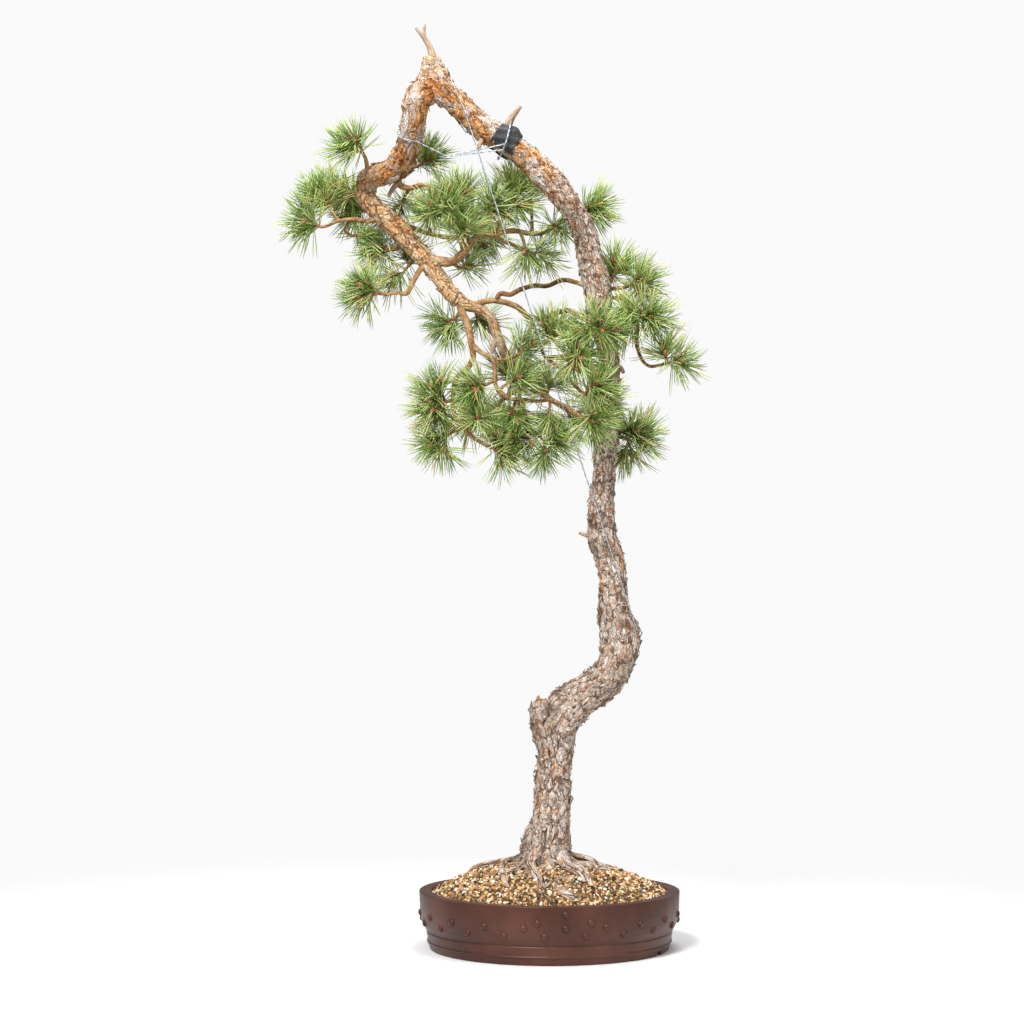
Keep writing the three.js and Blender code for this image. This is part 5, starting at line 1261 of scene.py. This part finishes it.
BUD_RINGS = [(0, 0.42), (0.12, 0.8), (0.3, 1.0), (0.5, 0.92), (0.7, 0.66), (0.86, 0.34)]
BUD_SIDES = 8
BUD_RADIUS = 0.26
bud_turns = [k / BUD_SIDES * math.tau for k in range(BUD_SIDES)]
bud_points = [
    (BUD_RADIUS * wide * math.cos(turn), BUD_RADIUS * wide * math.sin(turn), up)
    for up, wide in BUD_RINGS for turn in bud_turns
] + [(0, 0, -0.02), (0, 0, 1)]
bud_faces = []
for k in range(BUD_SIDES):
    beside = (k + 1) % BUD_SIDES
    for row in range(len(BUD_RINGS) - 1):
        low = row * BUD_SIDES
        bud_faces.append((low + k, low + beside, low + BUD_SIDES + beside, low + BUD_SIDES + k))
    top = (len(BUD_RINGS) - 1) * BUD_SIDES
    bud_faces += [(beside, k, len(bud_points) - 2), (top + k, top + beside, len(bud_points) - 1)]
bud = new_object("bud", mesh_of("bud", bud_points, (), bud_faces))
tree, given = new_shape(
    "end_buds", ("Bud", "NodeSocketObject"), ("Length", "NodeSocketFloat"),
    ("Scales", "NodeSocketMaterial"),
)
line = add(tree, "GeometryNodeMeshToCurve", {0: given["Geometry"]})
tangent = add(tree, "GeometryNodeInputTangent")
ends = add(tree, "GeometryNodeCurveEndpointSelection", {"Start Size": 0, "End Size": 1})
upright = add(tree, "FunctionNodeAlignRotationToVector", {"Vector": tangent}, axis="Z")
bud_mesh = add(tree, "GeometryNodeObjectInfo", {"Object": given["Bud"], "As Instance": True})
bud_group = add(tree, "GeometryNodeJoinGeometry")
for lean, turn, share in ((0, 0, 1), (0.75, 1, 0.7), (0.7, 3.4, 0.6)):
    leant = turned(tree, upright, ((0, 0, 1), turn), ((0, 1, 0), lean))
    grown = add(
        tree, "FunctionNodeRandomValue", {2: 0.75, 3: 1.15, "Seed": round(lean * 100)}, data_type="FLOAT",
    )
    grown = add(tree, "ShaderNodeMath", {0: grown.outputs[1], 1: share}, operation="MULTIPLY")
    grown = add(tree, "ShaderNodeMath", {0: grown, 1: given["Length"]}, operation="MULTIPLY")
    set_bud = add(
        tree, "GeometryNodeInstanceOnPoints",
        {"Points": line, "Selection": ends, "Instance": bud_mesh.outputs["Geometry"],
         "Rotation": leant, "Scale": grown},
    )
    set_inputs(bud_group, {0: set_bud})
end_shape(tree, bud_group, given["Scales"])
bud_lines = stem_lines("bud_lines", [path[:-1] for shoots in shoot_paths for path in shoots])
shape_with(bud_lines, tree, Bud=bud, Length=BUD_LENGTH * MM, Scales=bud_scales)
buds = plain_piece(bud_lines, "buds")
bpy.data.objects.remove(bud)
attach(buds, "root")

# The needles: stiff, half-round leaves in pairs, each pair twisted and held by a short sheath. They
# ring each shoot and lean further forward towards its bud.
NEEDLE_LENGTH = 32.0
NEEDLE_WIDTH = 1.1
NEEDLE_STEPS = 4
PAIRS_ON_SHOOT = 20
PAIR_KINDS = 4
GOLDEN_ANGLE = 2.39996
needle, tree, shader = new_material("scots_pine_needle")
needle_tint = add(tree, "ShaderNodeAttribute", attribute_name="needle_tint").outputs["Fac"]
needle_along = add(tree, "ShaderNodeAttribute", attribute_name="needle_along").outputs["Fac"]
needle_colour = add(tree, "ShaderNodeValToRGB", {"Fac": needle_tint})
set_stops(needle_colour, [
    (0, "#405b2c"), (0.3, "#709440"), (0.6, "#a3bd5f"), (0.88, "#d0de96"), (0.985, "#cfc07a"),
])
tip_share = add(tree, "ShaderNodeMapRange", {0: needle_along, 1: 0.92, 2: 1.0, 4: 0.4})
root_share = add(tree, "ShaderNodeMapRange", {0: needle_along, 1: 0.0, 2: 0.1, 3: 0.7, 4: 0.0})
tipped = add(
    tree, "ShaderNodeMix", {0: tip_share, 6: needle_colour, 7: linear("#b9a45a")}, data_type="RGBA",
)
sheathed = add(
    tree, "ShaderNodeMix", {0: root_share, 6: tipped.outputs[2], 7: linear("#c3a878")}, data_type="RGBA",
)
set_inputs(shader, {"Base Color": sheathed.outputs[2], "Roughness": 0.42, "IOR": 1.45})

fascicles = bpy.data.collections.new("fascicles")
bpy.context.scene.collection.children.link(fascicles)
random.seed(9)
for variant in range(PAIR_KINDS):
    points, faces, alongs = [], [], []
    for side in (-1, 1):
        bend = side * random.uniform(0.05, 0.1)
        curl = random.uniform(-0.05, 0.12)
        twist = random.uniform(0.5, 1.6)
        first = len(points)
        for step in range(NEEDLE_STEPS + 1):
            t = step / NEEDLE_STEPS
            centre = Vector((curl * t * t, side * 0.008 + bend * t * (1 - 0.4 * t), t))
            width = NEEDLE_WIDTH / NEEDLE_LENGTH / 2 * min(1, 0.55 + 2.4 * t) * (1 - max(0, t - 0.82) * 4.6)
            for corner, reach in ((0, 1), (2.2, 0.85), (4.08, 0.85)):
                angle = corner + twist * t + side
                points.append(centre + Vector((math.cos(angle), math.sin(angle), 0)) * width * reach)
                alongs.append(t)
        for step in range(NEEDLE_STEPS):
            low = first + step * 3
            for k in range(3):
                beside = (k + 1) % 3
                faces.append((low + k, low + beside, low + 3 + beside, low + 3 + k))
        faces += [(first + 2, first + 1, first), (len(points) - 3, len(points) - 2, len(points) - 1)]
    pair = bpy.data.objects.new(f"pair_{variant}", mesh_of(f"pair_{variant}", points, (), faces))
    pair.data.attributes.new("needle_along", "FLOAT", "POINT").data.foreach_set("value", alongs)
    fascicles.objects.link(pair)

needled, given = new_shape(
    "needled_shoot", ("Pairs", "NodeSocketInt"), ("Length", "NodeSocketFloat"),
    ("Kinds", "NodeSocketCollection"), ("Seed", "NodeSocketInt"), ("Needle", "NodeSocketMaterial"),
)
tree = needled
line = add(tree, "GeometryNodeMeshToCurve", {0: given["Geometry"]})
leafy = add(tree, "GeometryNodeTrimCurve", {0: line, 2: 0.1, 3: 0.97}, mode="FACTOR")
feet = add(tree, "GeometryNodeCurveToPoints", {0: leafy, "Count": given["Pairs"]}, mode="COUNT")
number = add(tree, "GeometryNodeInputIndex")
rank = add(tree, "ShaderNodeMath", {0: number, 1: given["Pairs"]}, operation="MODULO")
rank = add(tree, "ShaderNodeMath", {0: rank, 1: given["Pairs"]}, operation="DIVIDE")
stray = add(tree, "FunctionNodeRandomValue", {2: -0.28, 3: 0.28, "Seed": given["Seed"]}, data_type="FLOAT")
lean = add(tree, "ShaderNodeMapRange", {0: rank, 3: 1.15, 4: 0.46})
lean = add(tree, "ShaderNodeMath", {0: lean, 1: stray.outputs[1]})
spiral = add(tree, "ShaderNodeMath", {0: number, 1: GOLDEN_ANGLE}, operation="MULTIPLY")
roll = add(tree, "FunctionNodeRandomValue", {2: 0.0, 3: 6.28, "Seed": given["Seed"]}, data_type="FLOAT")
upright = add(tree, "FunctionNodeAlignRotationToVector", {"Vector": feet.outputs["Tangent"]}, axis="Z")
pose = turned(tree, upright, ((0, 0, 1), spiral), ((0, 1, 0), lean), ((0, 0, 1), roll.outputs[1]))
grown = add(tree, "FunctionNodeRandomValue", {2: 0.66, 3: 1.12, "Seed": given["Seed"]}, data_type="FLOAT")
grown = add(tree, "ShaderNodeMath", {0: grown.outputs[1], 1: given["Length"]}, operation="MULTIPLY")
kinds = add(
    tree, "GeometryNodeCollectionInfo",
    {"Collection": given["Kinds"], "Separate Children": True, "Reset Children": True},
)
kind = add(tree, "FunctionNodeRandomValue", {4: 0, 5: PAIR_KINDS - 1, "Seed": given["Seed"]}, data_type="INT")
leaves = add(
    tree, "GeometryNodeInstanceOnPoints",
    {"Points": feet.outputs["Points"], "Instance": kinds, "Pick Instance": True,
     "Instance Index": kind.outputs[2], "Rotation": pose, "Scale": grown},
)
tint = add(tree, "FunctionNodeRandomValue", {2: 0.0, 3: 1.0, "Seed": given["Seed"]}, data_type="FLOAT")
tinted = add(
    tree, "GeometryNodeStoreNamedAttribute", {0: leaves, "Name": "needle_tint", "Value": tint.outputs[1]},
    data_type="FLOAT", domain="INSTANCE",
)
end_shape(tree, tinted, given["Needle"])
for i, paths in enumerate(shoot_paths, start=1):
    lines = stem_lines(f"leaf_lines_{i:02d}", paths)
    shape_with(
        lines, needled, Pairs=PAIRS_ON_SHOOT, Length=NEEDLE_LENGTH * MM, Kinds=fascicles, Seed=i,
        Needle=needle,
    )
    tuft = plain_piece(lines, f"needles_{i:02d}")
    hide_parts(f"spray_{i:02d}")
    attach(tuft, "root")
for pair in list(fascicles.objects):
    bpy.data.objects.remove(pair)
bpy.data.collections.remove(fascicles)

# The rubber pad: a strip of black rubber wrapped round the upper trunk, which spreads the pull of
# the wire. It bulges over the snag's foot where it has been folded.
PAD_FROM = [25, 797, -6]
PAD_TO = [5, 811, -7]
PAD_THICKNESS = 2.4
PAD_SIDES = 48
PAD_ROWS = 16
PAD_BULGE = 4.0
PAD_CREASE = 0.5
DUST_PER_M = 500.0
# The pad covers the trunk from this angle to that, counted from the front over the upper side
PAD_ANGLES = (-58, 236)


def nearest_row(path, place):
    """The number of the path's row that lies nearest to a place."""
    point = placed(*place)
    return min(range(len(path)), key=lambda i: (path[i][0] - point).length)


def hoops(path):
    """A middle, a radius and two directions across for each row of a path."""
    made = []
    across = Vector((0.3, -1, 0.2))
    for i, (middle, radius) in enumerate(path):
        tangent = (path[min(i + 1, len(path) - 1)][0] - path[max(i - 1, 0)][0]).normalized()
        across = (across - tangent * across.dot(tangent)).normalized()
        made.append((middle, radius, across.copy(), tangent.cross(across)))
    return made


pad_start, pad_radius = stems["trunk"][nearest_row(stems["trunk"], PAD_FROM)]
pad_end = stems["trunk"][nearest_row(stems["trunk"], PAD_TO)][0]
pad_rows = [(pad_start.lerp(pad_end, i / PAD_ROWS), pad_radius) for i in range(PAD_ROWS + 1)]
pad_points, pad_faces = [], []
for row, (middle, radius, across, side) in enumerate(hoops(pad_rows)):
    for k in range(PAD_SIDES + 1):
        turn = math.radians(PAD_ANGLES[0] + (PAD_ANGLES[1] - PAD_ANGLES[0]) * k / PAD_SIDES)
        bulge = PAD_BULGE * math.exp(-((row / PAD_ROWS - 0.4) / 0.3) ** 2) * max(0, math.cos(turn - 1.2)) ** 2
        crease = PAD_CREASE * math.sin(9 * turn + 0.5 * row)
        reach = radius * 1.05 + (PAD_THICKNESS * 0.75 + bulge + crease) * MM
        pad_points.append(middle + (across * math.cos(turn) + side * math.sin(turn)) * reach)
        if row < PAD_ROWS and k < PAD_SIDES:
            here = row * (PAD_SIDES + 1) + k
            pad_faces.append((here, here + 1, here + PAD_SIDES + 2, here + PAD_SIDES + 1))
pad_shell = new_object("pad_shell", mesh_of("pad_shell", pad_points, (), pad_faces))
thick = pad_shell.modifiers.new("thickness", "SOLIDIFY")
thick.thickness = PAD_THICKNESS * MM
thick.offset = -1
round_edges = pad_shell.modifiers.new("soft_edges", "BEVEL")
round_edges.width = 0.5 * MM
round_edges.segments = 2
rubber_pad = plain_piece(pad_shell, "rubber_wrap")
for polygon in rubber_pad.data.polygons:
    polygon.use_smooth = True
rubber, tree, shader = new_material("black_natural_rubber")
place = add(tree, "ShaderNodeTexCoord").outputs["Object"]
dust = add(tree, "ShaderNodeTexNoise", {"Vector": place, "Scale": DUST_PER_M, "Detail": 3.0})
rubber_colour = add(tree, "ShaderNodeValToRGB", {"Fac": dust})
set_stops(rubber_colour, [(0.35, "#1c1d1f"), (0.7, "#37383a")])
bump = add(tree, "ShaderNodeBump", {"Height": dust, "Strength": 0.3, "Distance": 0.2 * MM})
set_inputs(shader, {"Base Color": rubber_colour, "Normal": bump, "Roughness": 0.6})
rubber_pad.data.materials.append(rubber)
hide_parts("rubber_pad")
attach(rubber_pad, "root")

# The guy wires: drawn aluminium, doubled and twisted on itself until it is tight. One runs from the
# top of the arch to the lower bend, and one ties the fallen limb back to the padded trunk.
WIRE_RADIUS = 0.42
WIRE_PITCH = 15
WIRE_STEP = 1.2
STRAND_SIDES = 6
LOOP_STEPS = 40
HAZE_PER_M = 300.0
aluminium, tree, shader = new_material("drawn_aluminium_wire")
place = add(tree, "ShaderNodeTexCoord").outputs["Object"]
haze = add(tree, "ShaderNodeTexNoise", {"Vector": place, "Scale": HAZE_PER_M, "Detail": 2.0})
wire_colour = add(tree, "ShaderNodeValToRGB", {"Fac": haze})
set_stops(wire_colour, [(0.35, "#aab1ba"), (0.65, "#d3d7dc")])
wire_gloss = add(tree, "ShaderNodeMapRange", {0: haze, 3: 0.42, 4: 0.6})
set_inputs(shader, {"Base Color": wire_colour, "Roughness": wire_gloss, "Metallic": 1.0})


def loop_round(path, place, lift, slant=0, angles=(0, 360), fall=0):
    """Points of a wire round a stem at a place, slanting along it, or falling from end to end."""
    rings = hoops(path)
    row = nearest_row(path, place)
    points = []
    for k in range(LOOP_STEPS + 1):
        share = k / LOOP_STEPS
        turn = math.radians(angles[0] + (angles[1] - angles[0]) * share)
        along = row + slant * math.sin(turn) - fall * share
        low = math.floor(along)
        pair = [
            middle + (across * math.cos(turn) + side * math.sin(turn)) * (radius + lift * MM)
            for middle, radius, across, side in rings[low:low + 2]
        ]
        points.append(pair[0].lerp(pair[1], along - low))
    return points


tree, given = new_shape(
    "twisted_wire", ("Radius", "NodeSocketFloat"), ("Pitch", "NodeSocketFloat"),
    ("Metal", "NodeSocketMaterial"),
)
line = add(tree, "GeometryNodeMeshToCurve", {0: given["Geometry"]})
route = add(tree, "GeometryNodeResampleCurve", {0: line, "Length": WIRE_STEP * MM}, mode="LENGTH")
run = add(tree, "GeometryNodeSplineParameter").outputs["Length"]
turn = add(tree, "ShaderNodeMath", {0: run, 1: given["Pitch"]}, operation="DIVIDE")
turn = add(tree, "ShaderNodeMath", {0: turn, 1: math.tau}, operation="MULTIPLY")
side = add(
    tree, "ShaderNodeVectorMath",
    {0: add(tree, "GeometryNodeInputTangent"), 1: add(tree, "GeometryNodeInputNormal")},
    operation="CROSS_PRODUCT",
)
hoop = add(tree, "GeometryNodeCurvePrimitiveCircle", {"Resolution": STRAND_SIDES, "Radius": given["Radius"]})
strands = add(tree, "GeometryNodeJoinGeometry")
for phase in (0, math.pi):
    angle = add(tree, "ShaderNodeMath", {0: turn, 1: phase})
    cosine = add(tree, "ShaderNodeMath", {0: angle}, operation="COSINE")
    sine = add(tree, "ShaderNodeMath", {0: angle}, operation="SINE")
    out = add(
        tree, "ShaderNodeVectorMath", {0: add(tree, "GeometryNodeInputNormal"), "Scale": cosine},
        operation="SCALE",
    )
    over = add(tree, "ShaderNodeVectorMath", {0: side, "Scale": sine}, operation="SCALE")
    offset = add(tree, "ShaderNodeVectorMath", {0: out, 1: over})
    offset = add(tree, "ShaderNodeVectorMath", {0: offset, "Scale": given["Radius"]}, operation="SCALE")
    strand = add(tree, "GeometryNodeSetPosition", {0: route, "Offset": offset})
    strand = add(tree, "GeometryNodeCurveToMesh", {0: strand, 1: hoop, "Scale": 1.0, "Fill Caps": True})
    set_inputs(strands, {0: strand})
end_shape(tree, strands, given["Metal"])

CROWN_SLANT = 10
HOOK_ANGLES = (26, 148)
HOOK_FALL = 3
EYE_CENTRE = [133, 303.5, 33]
EYE_RADIUS = 5.4
EYE_STEPS = 20
crown_loop = loop_round(stems["trunk"], [-36, 846, -9], 1.7, CROWN_SLANT)
hook = loop_round(stems["trunk"], [129, 312, 3], 2.0, 0, HOOK_ANGLES, HOOK_FALL)
span_top = min(crown_loop, key=lambda p: (p - placed(-27, 830, -22)).length)
eye_turns = [k / EYE_STEPS * math.tau for k in range(EYE_STEPS + 1)]
eye_loop = [
    placed(*EYE_CENTRE) + Vector((math.cos(turn), 0, math.sin(turn))) * EYE_RADIUS * MM for turn in eye_turns
]
pad_loop = loop_round(stems["trunk"], [15, 804, -7], PAD_THICKNESS + 4.6, 2)
limb_loop = loop_round(stems["limb_top"], [-84, 796, -26], 1.5)
twist_start = placed(-43, 790, -9)
twist_end = min(limb_loop, key=lambda p: (p - placed(-70, 790, -16)).length)
strand_ends = [
    min(pad_loop, key=lambda p: (p - placed(*place)).length) for place in ([4, 806, -24], [18, 796, -24])
]
for name, node, runs in (
    ("guy_wire_to_bend", "guy_wire_long", [crown_loop, [span_top, hook[0]], hook + [eye_loop[0]], eye_loop]),
    ("guy_wire_to_limb", "guy_wire_loop",
     [pad_loop, limb_loop, [twist_end, twist_start]] + [[twist_start, end] for end in strand_ends]),
):
    lines = stem_lines(name + "_lines", [[(point, WIRE_RADIUS * MM) for point in run] for run in runs])
    shape_with(lines, tree, Radius=WIRE_RADIUS * MM, Pitch=WIRE_PITCH * MM, Metal=aluminium)
    wire = plain_piece(lines, name)
    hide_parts(node)
    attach(wire, "root")

# The studio: a pale floor that runs out into a pale sky, and large soft lights, with the camera at
# the eye that the tree is described from. The sky lights the tree less than it shows.
FLOOR_RADIUS = 30
FLOOR_FADE = (0.2, 0.85)
SKY_SEEN = 0.955
SKY_LIGHT = 0.36
LENS = 84.4
SENSOR_WIDTH = 36
AIM = Vector((22, 0, 433)) * MM
floor_bmesh = bmesh.new()
bmesh.ops.create_circle(floor_bmesh, cap_ends=True, segments=96, radius=FLOOR_RADIUS)
floor_mesh = bpy.data.meshes.new("floor")
floor_bmesh.to_mesh(floor_mesh)
floor_bmesh.free()
floor = new_object("floor", floor_mesh)
floor_paint, tree, shader = new_material("pale_matt_floor")
set_inputs(shader, {"Base Color": linear("#ececec"), "Roughness": 0.9})
away = add(
    tree, "ShaderNodeVectorMath", {0: add(tree, "ShaderNodeTexCoord").outputs["Object"]},
    operation="LENGTH",
)
away = add(
    tree, "ShaderNodeMapRange", {0: away.outputs["Value"], 1: FLOOR_FADE[0], 2: FLOOR_FADE[1]},
    interpolation_type="SMOOTHSTEP",
)
open_sky = add(tree, "ShaderNodeBsdfTransparent")
run_out = add(tree, "ShaderNodeMixShader", {0: away, 1: shader, 2: open_sky})
set_inputs(tree.nodes["Material Output"], {"Surface": run_out})
floor.data.materials.append(floor_paint)

world = bpy.data.worlds.new("studio")
bpy.context.scene.world = world
world.use_nodes = True
tree = world.node_tree
tree.nodes.clear()
seen = add(tree, "ShaderNodeLightPath").outputs["Is Camera Ray"]
brightness = add(tree, "ShaderNodeMapRange", {0: seen, 3: SKY_LIGHT, 4: SKY_SEEN})
sky = add(tree, "ShaderNodeBackground", {"Color": (1, 1, 1, 1), "Strength": brightness})
add(tree, "ShaderNodeOutputWorld", {"Surface": sky})


def soft_light(name, place, size, power):
    """A square light that faces the middle of the tree."""
    light = bpy.data.lights.new(name, "AREA")
    light.size = size
    light.energy = power
    lamp = bpy.data.objects.new(name, light)
    bpy.context.scene.collection.objects.link(lamp)
    lamp.location = place
    lamp.rotation_euler = (Vector((0, 0, 0.5)) - Vector(place)).to_track_quat("-Z", "Y").to_euler()


soft_light("key", (-0.9, -2.1, 2.4), 0.8, 112)
soft_light("fill", (2.2, -1.7, 1.2), 1.6, 28)
soft_light("top", (0.2, 0.2, 2.6), 1.2, 40)

camera_data = bpy.data.cameras.new("camera")
camera_data.lens = LENS
camera_data.sensor_width = SENSOR_WIDTH
camera_data.clip_end = 100
camera = bpy.data.objects.new("camera", camera_data)
bpy.context.scene.collection.objects.link(camera)
camera.location = EYE
camera.rotation_euler = (AIM - EYE).to_track_quat("-Z", "Y").to_euler()
bpy.context.scene.camera = camera
bpy.context.scene.view_settings.view_transform = "Standard"
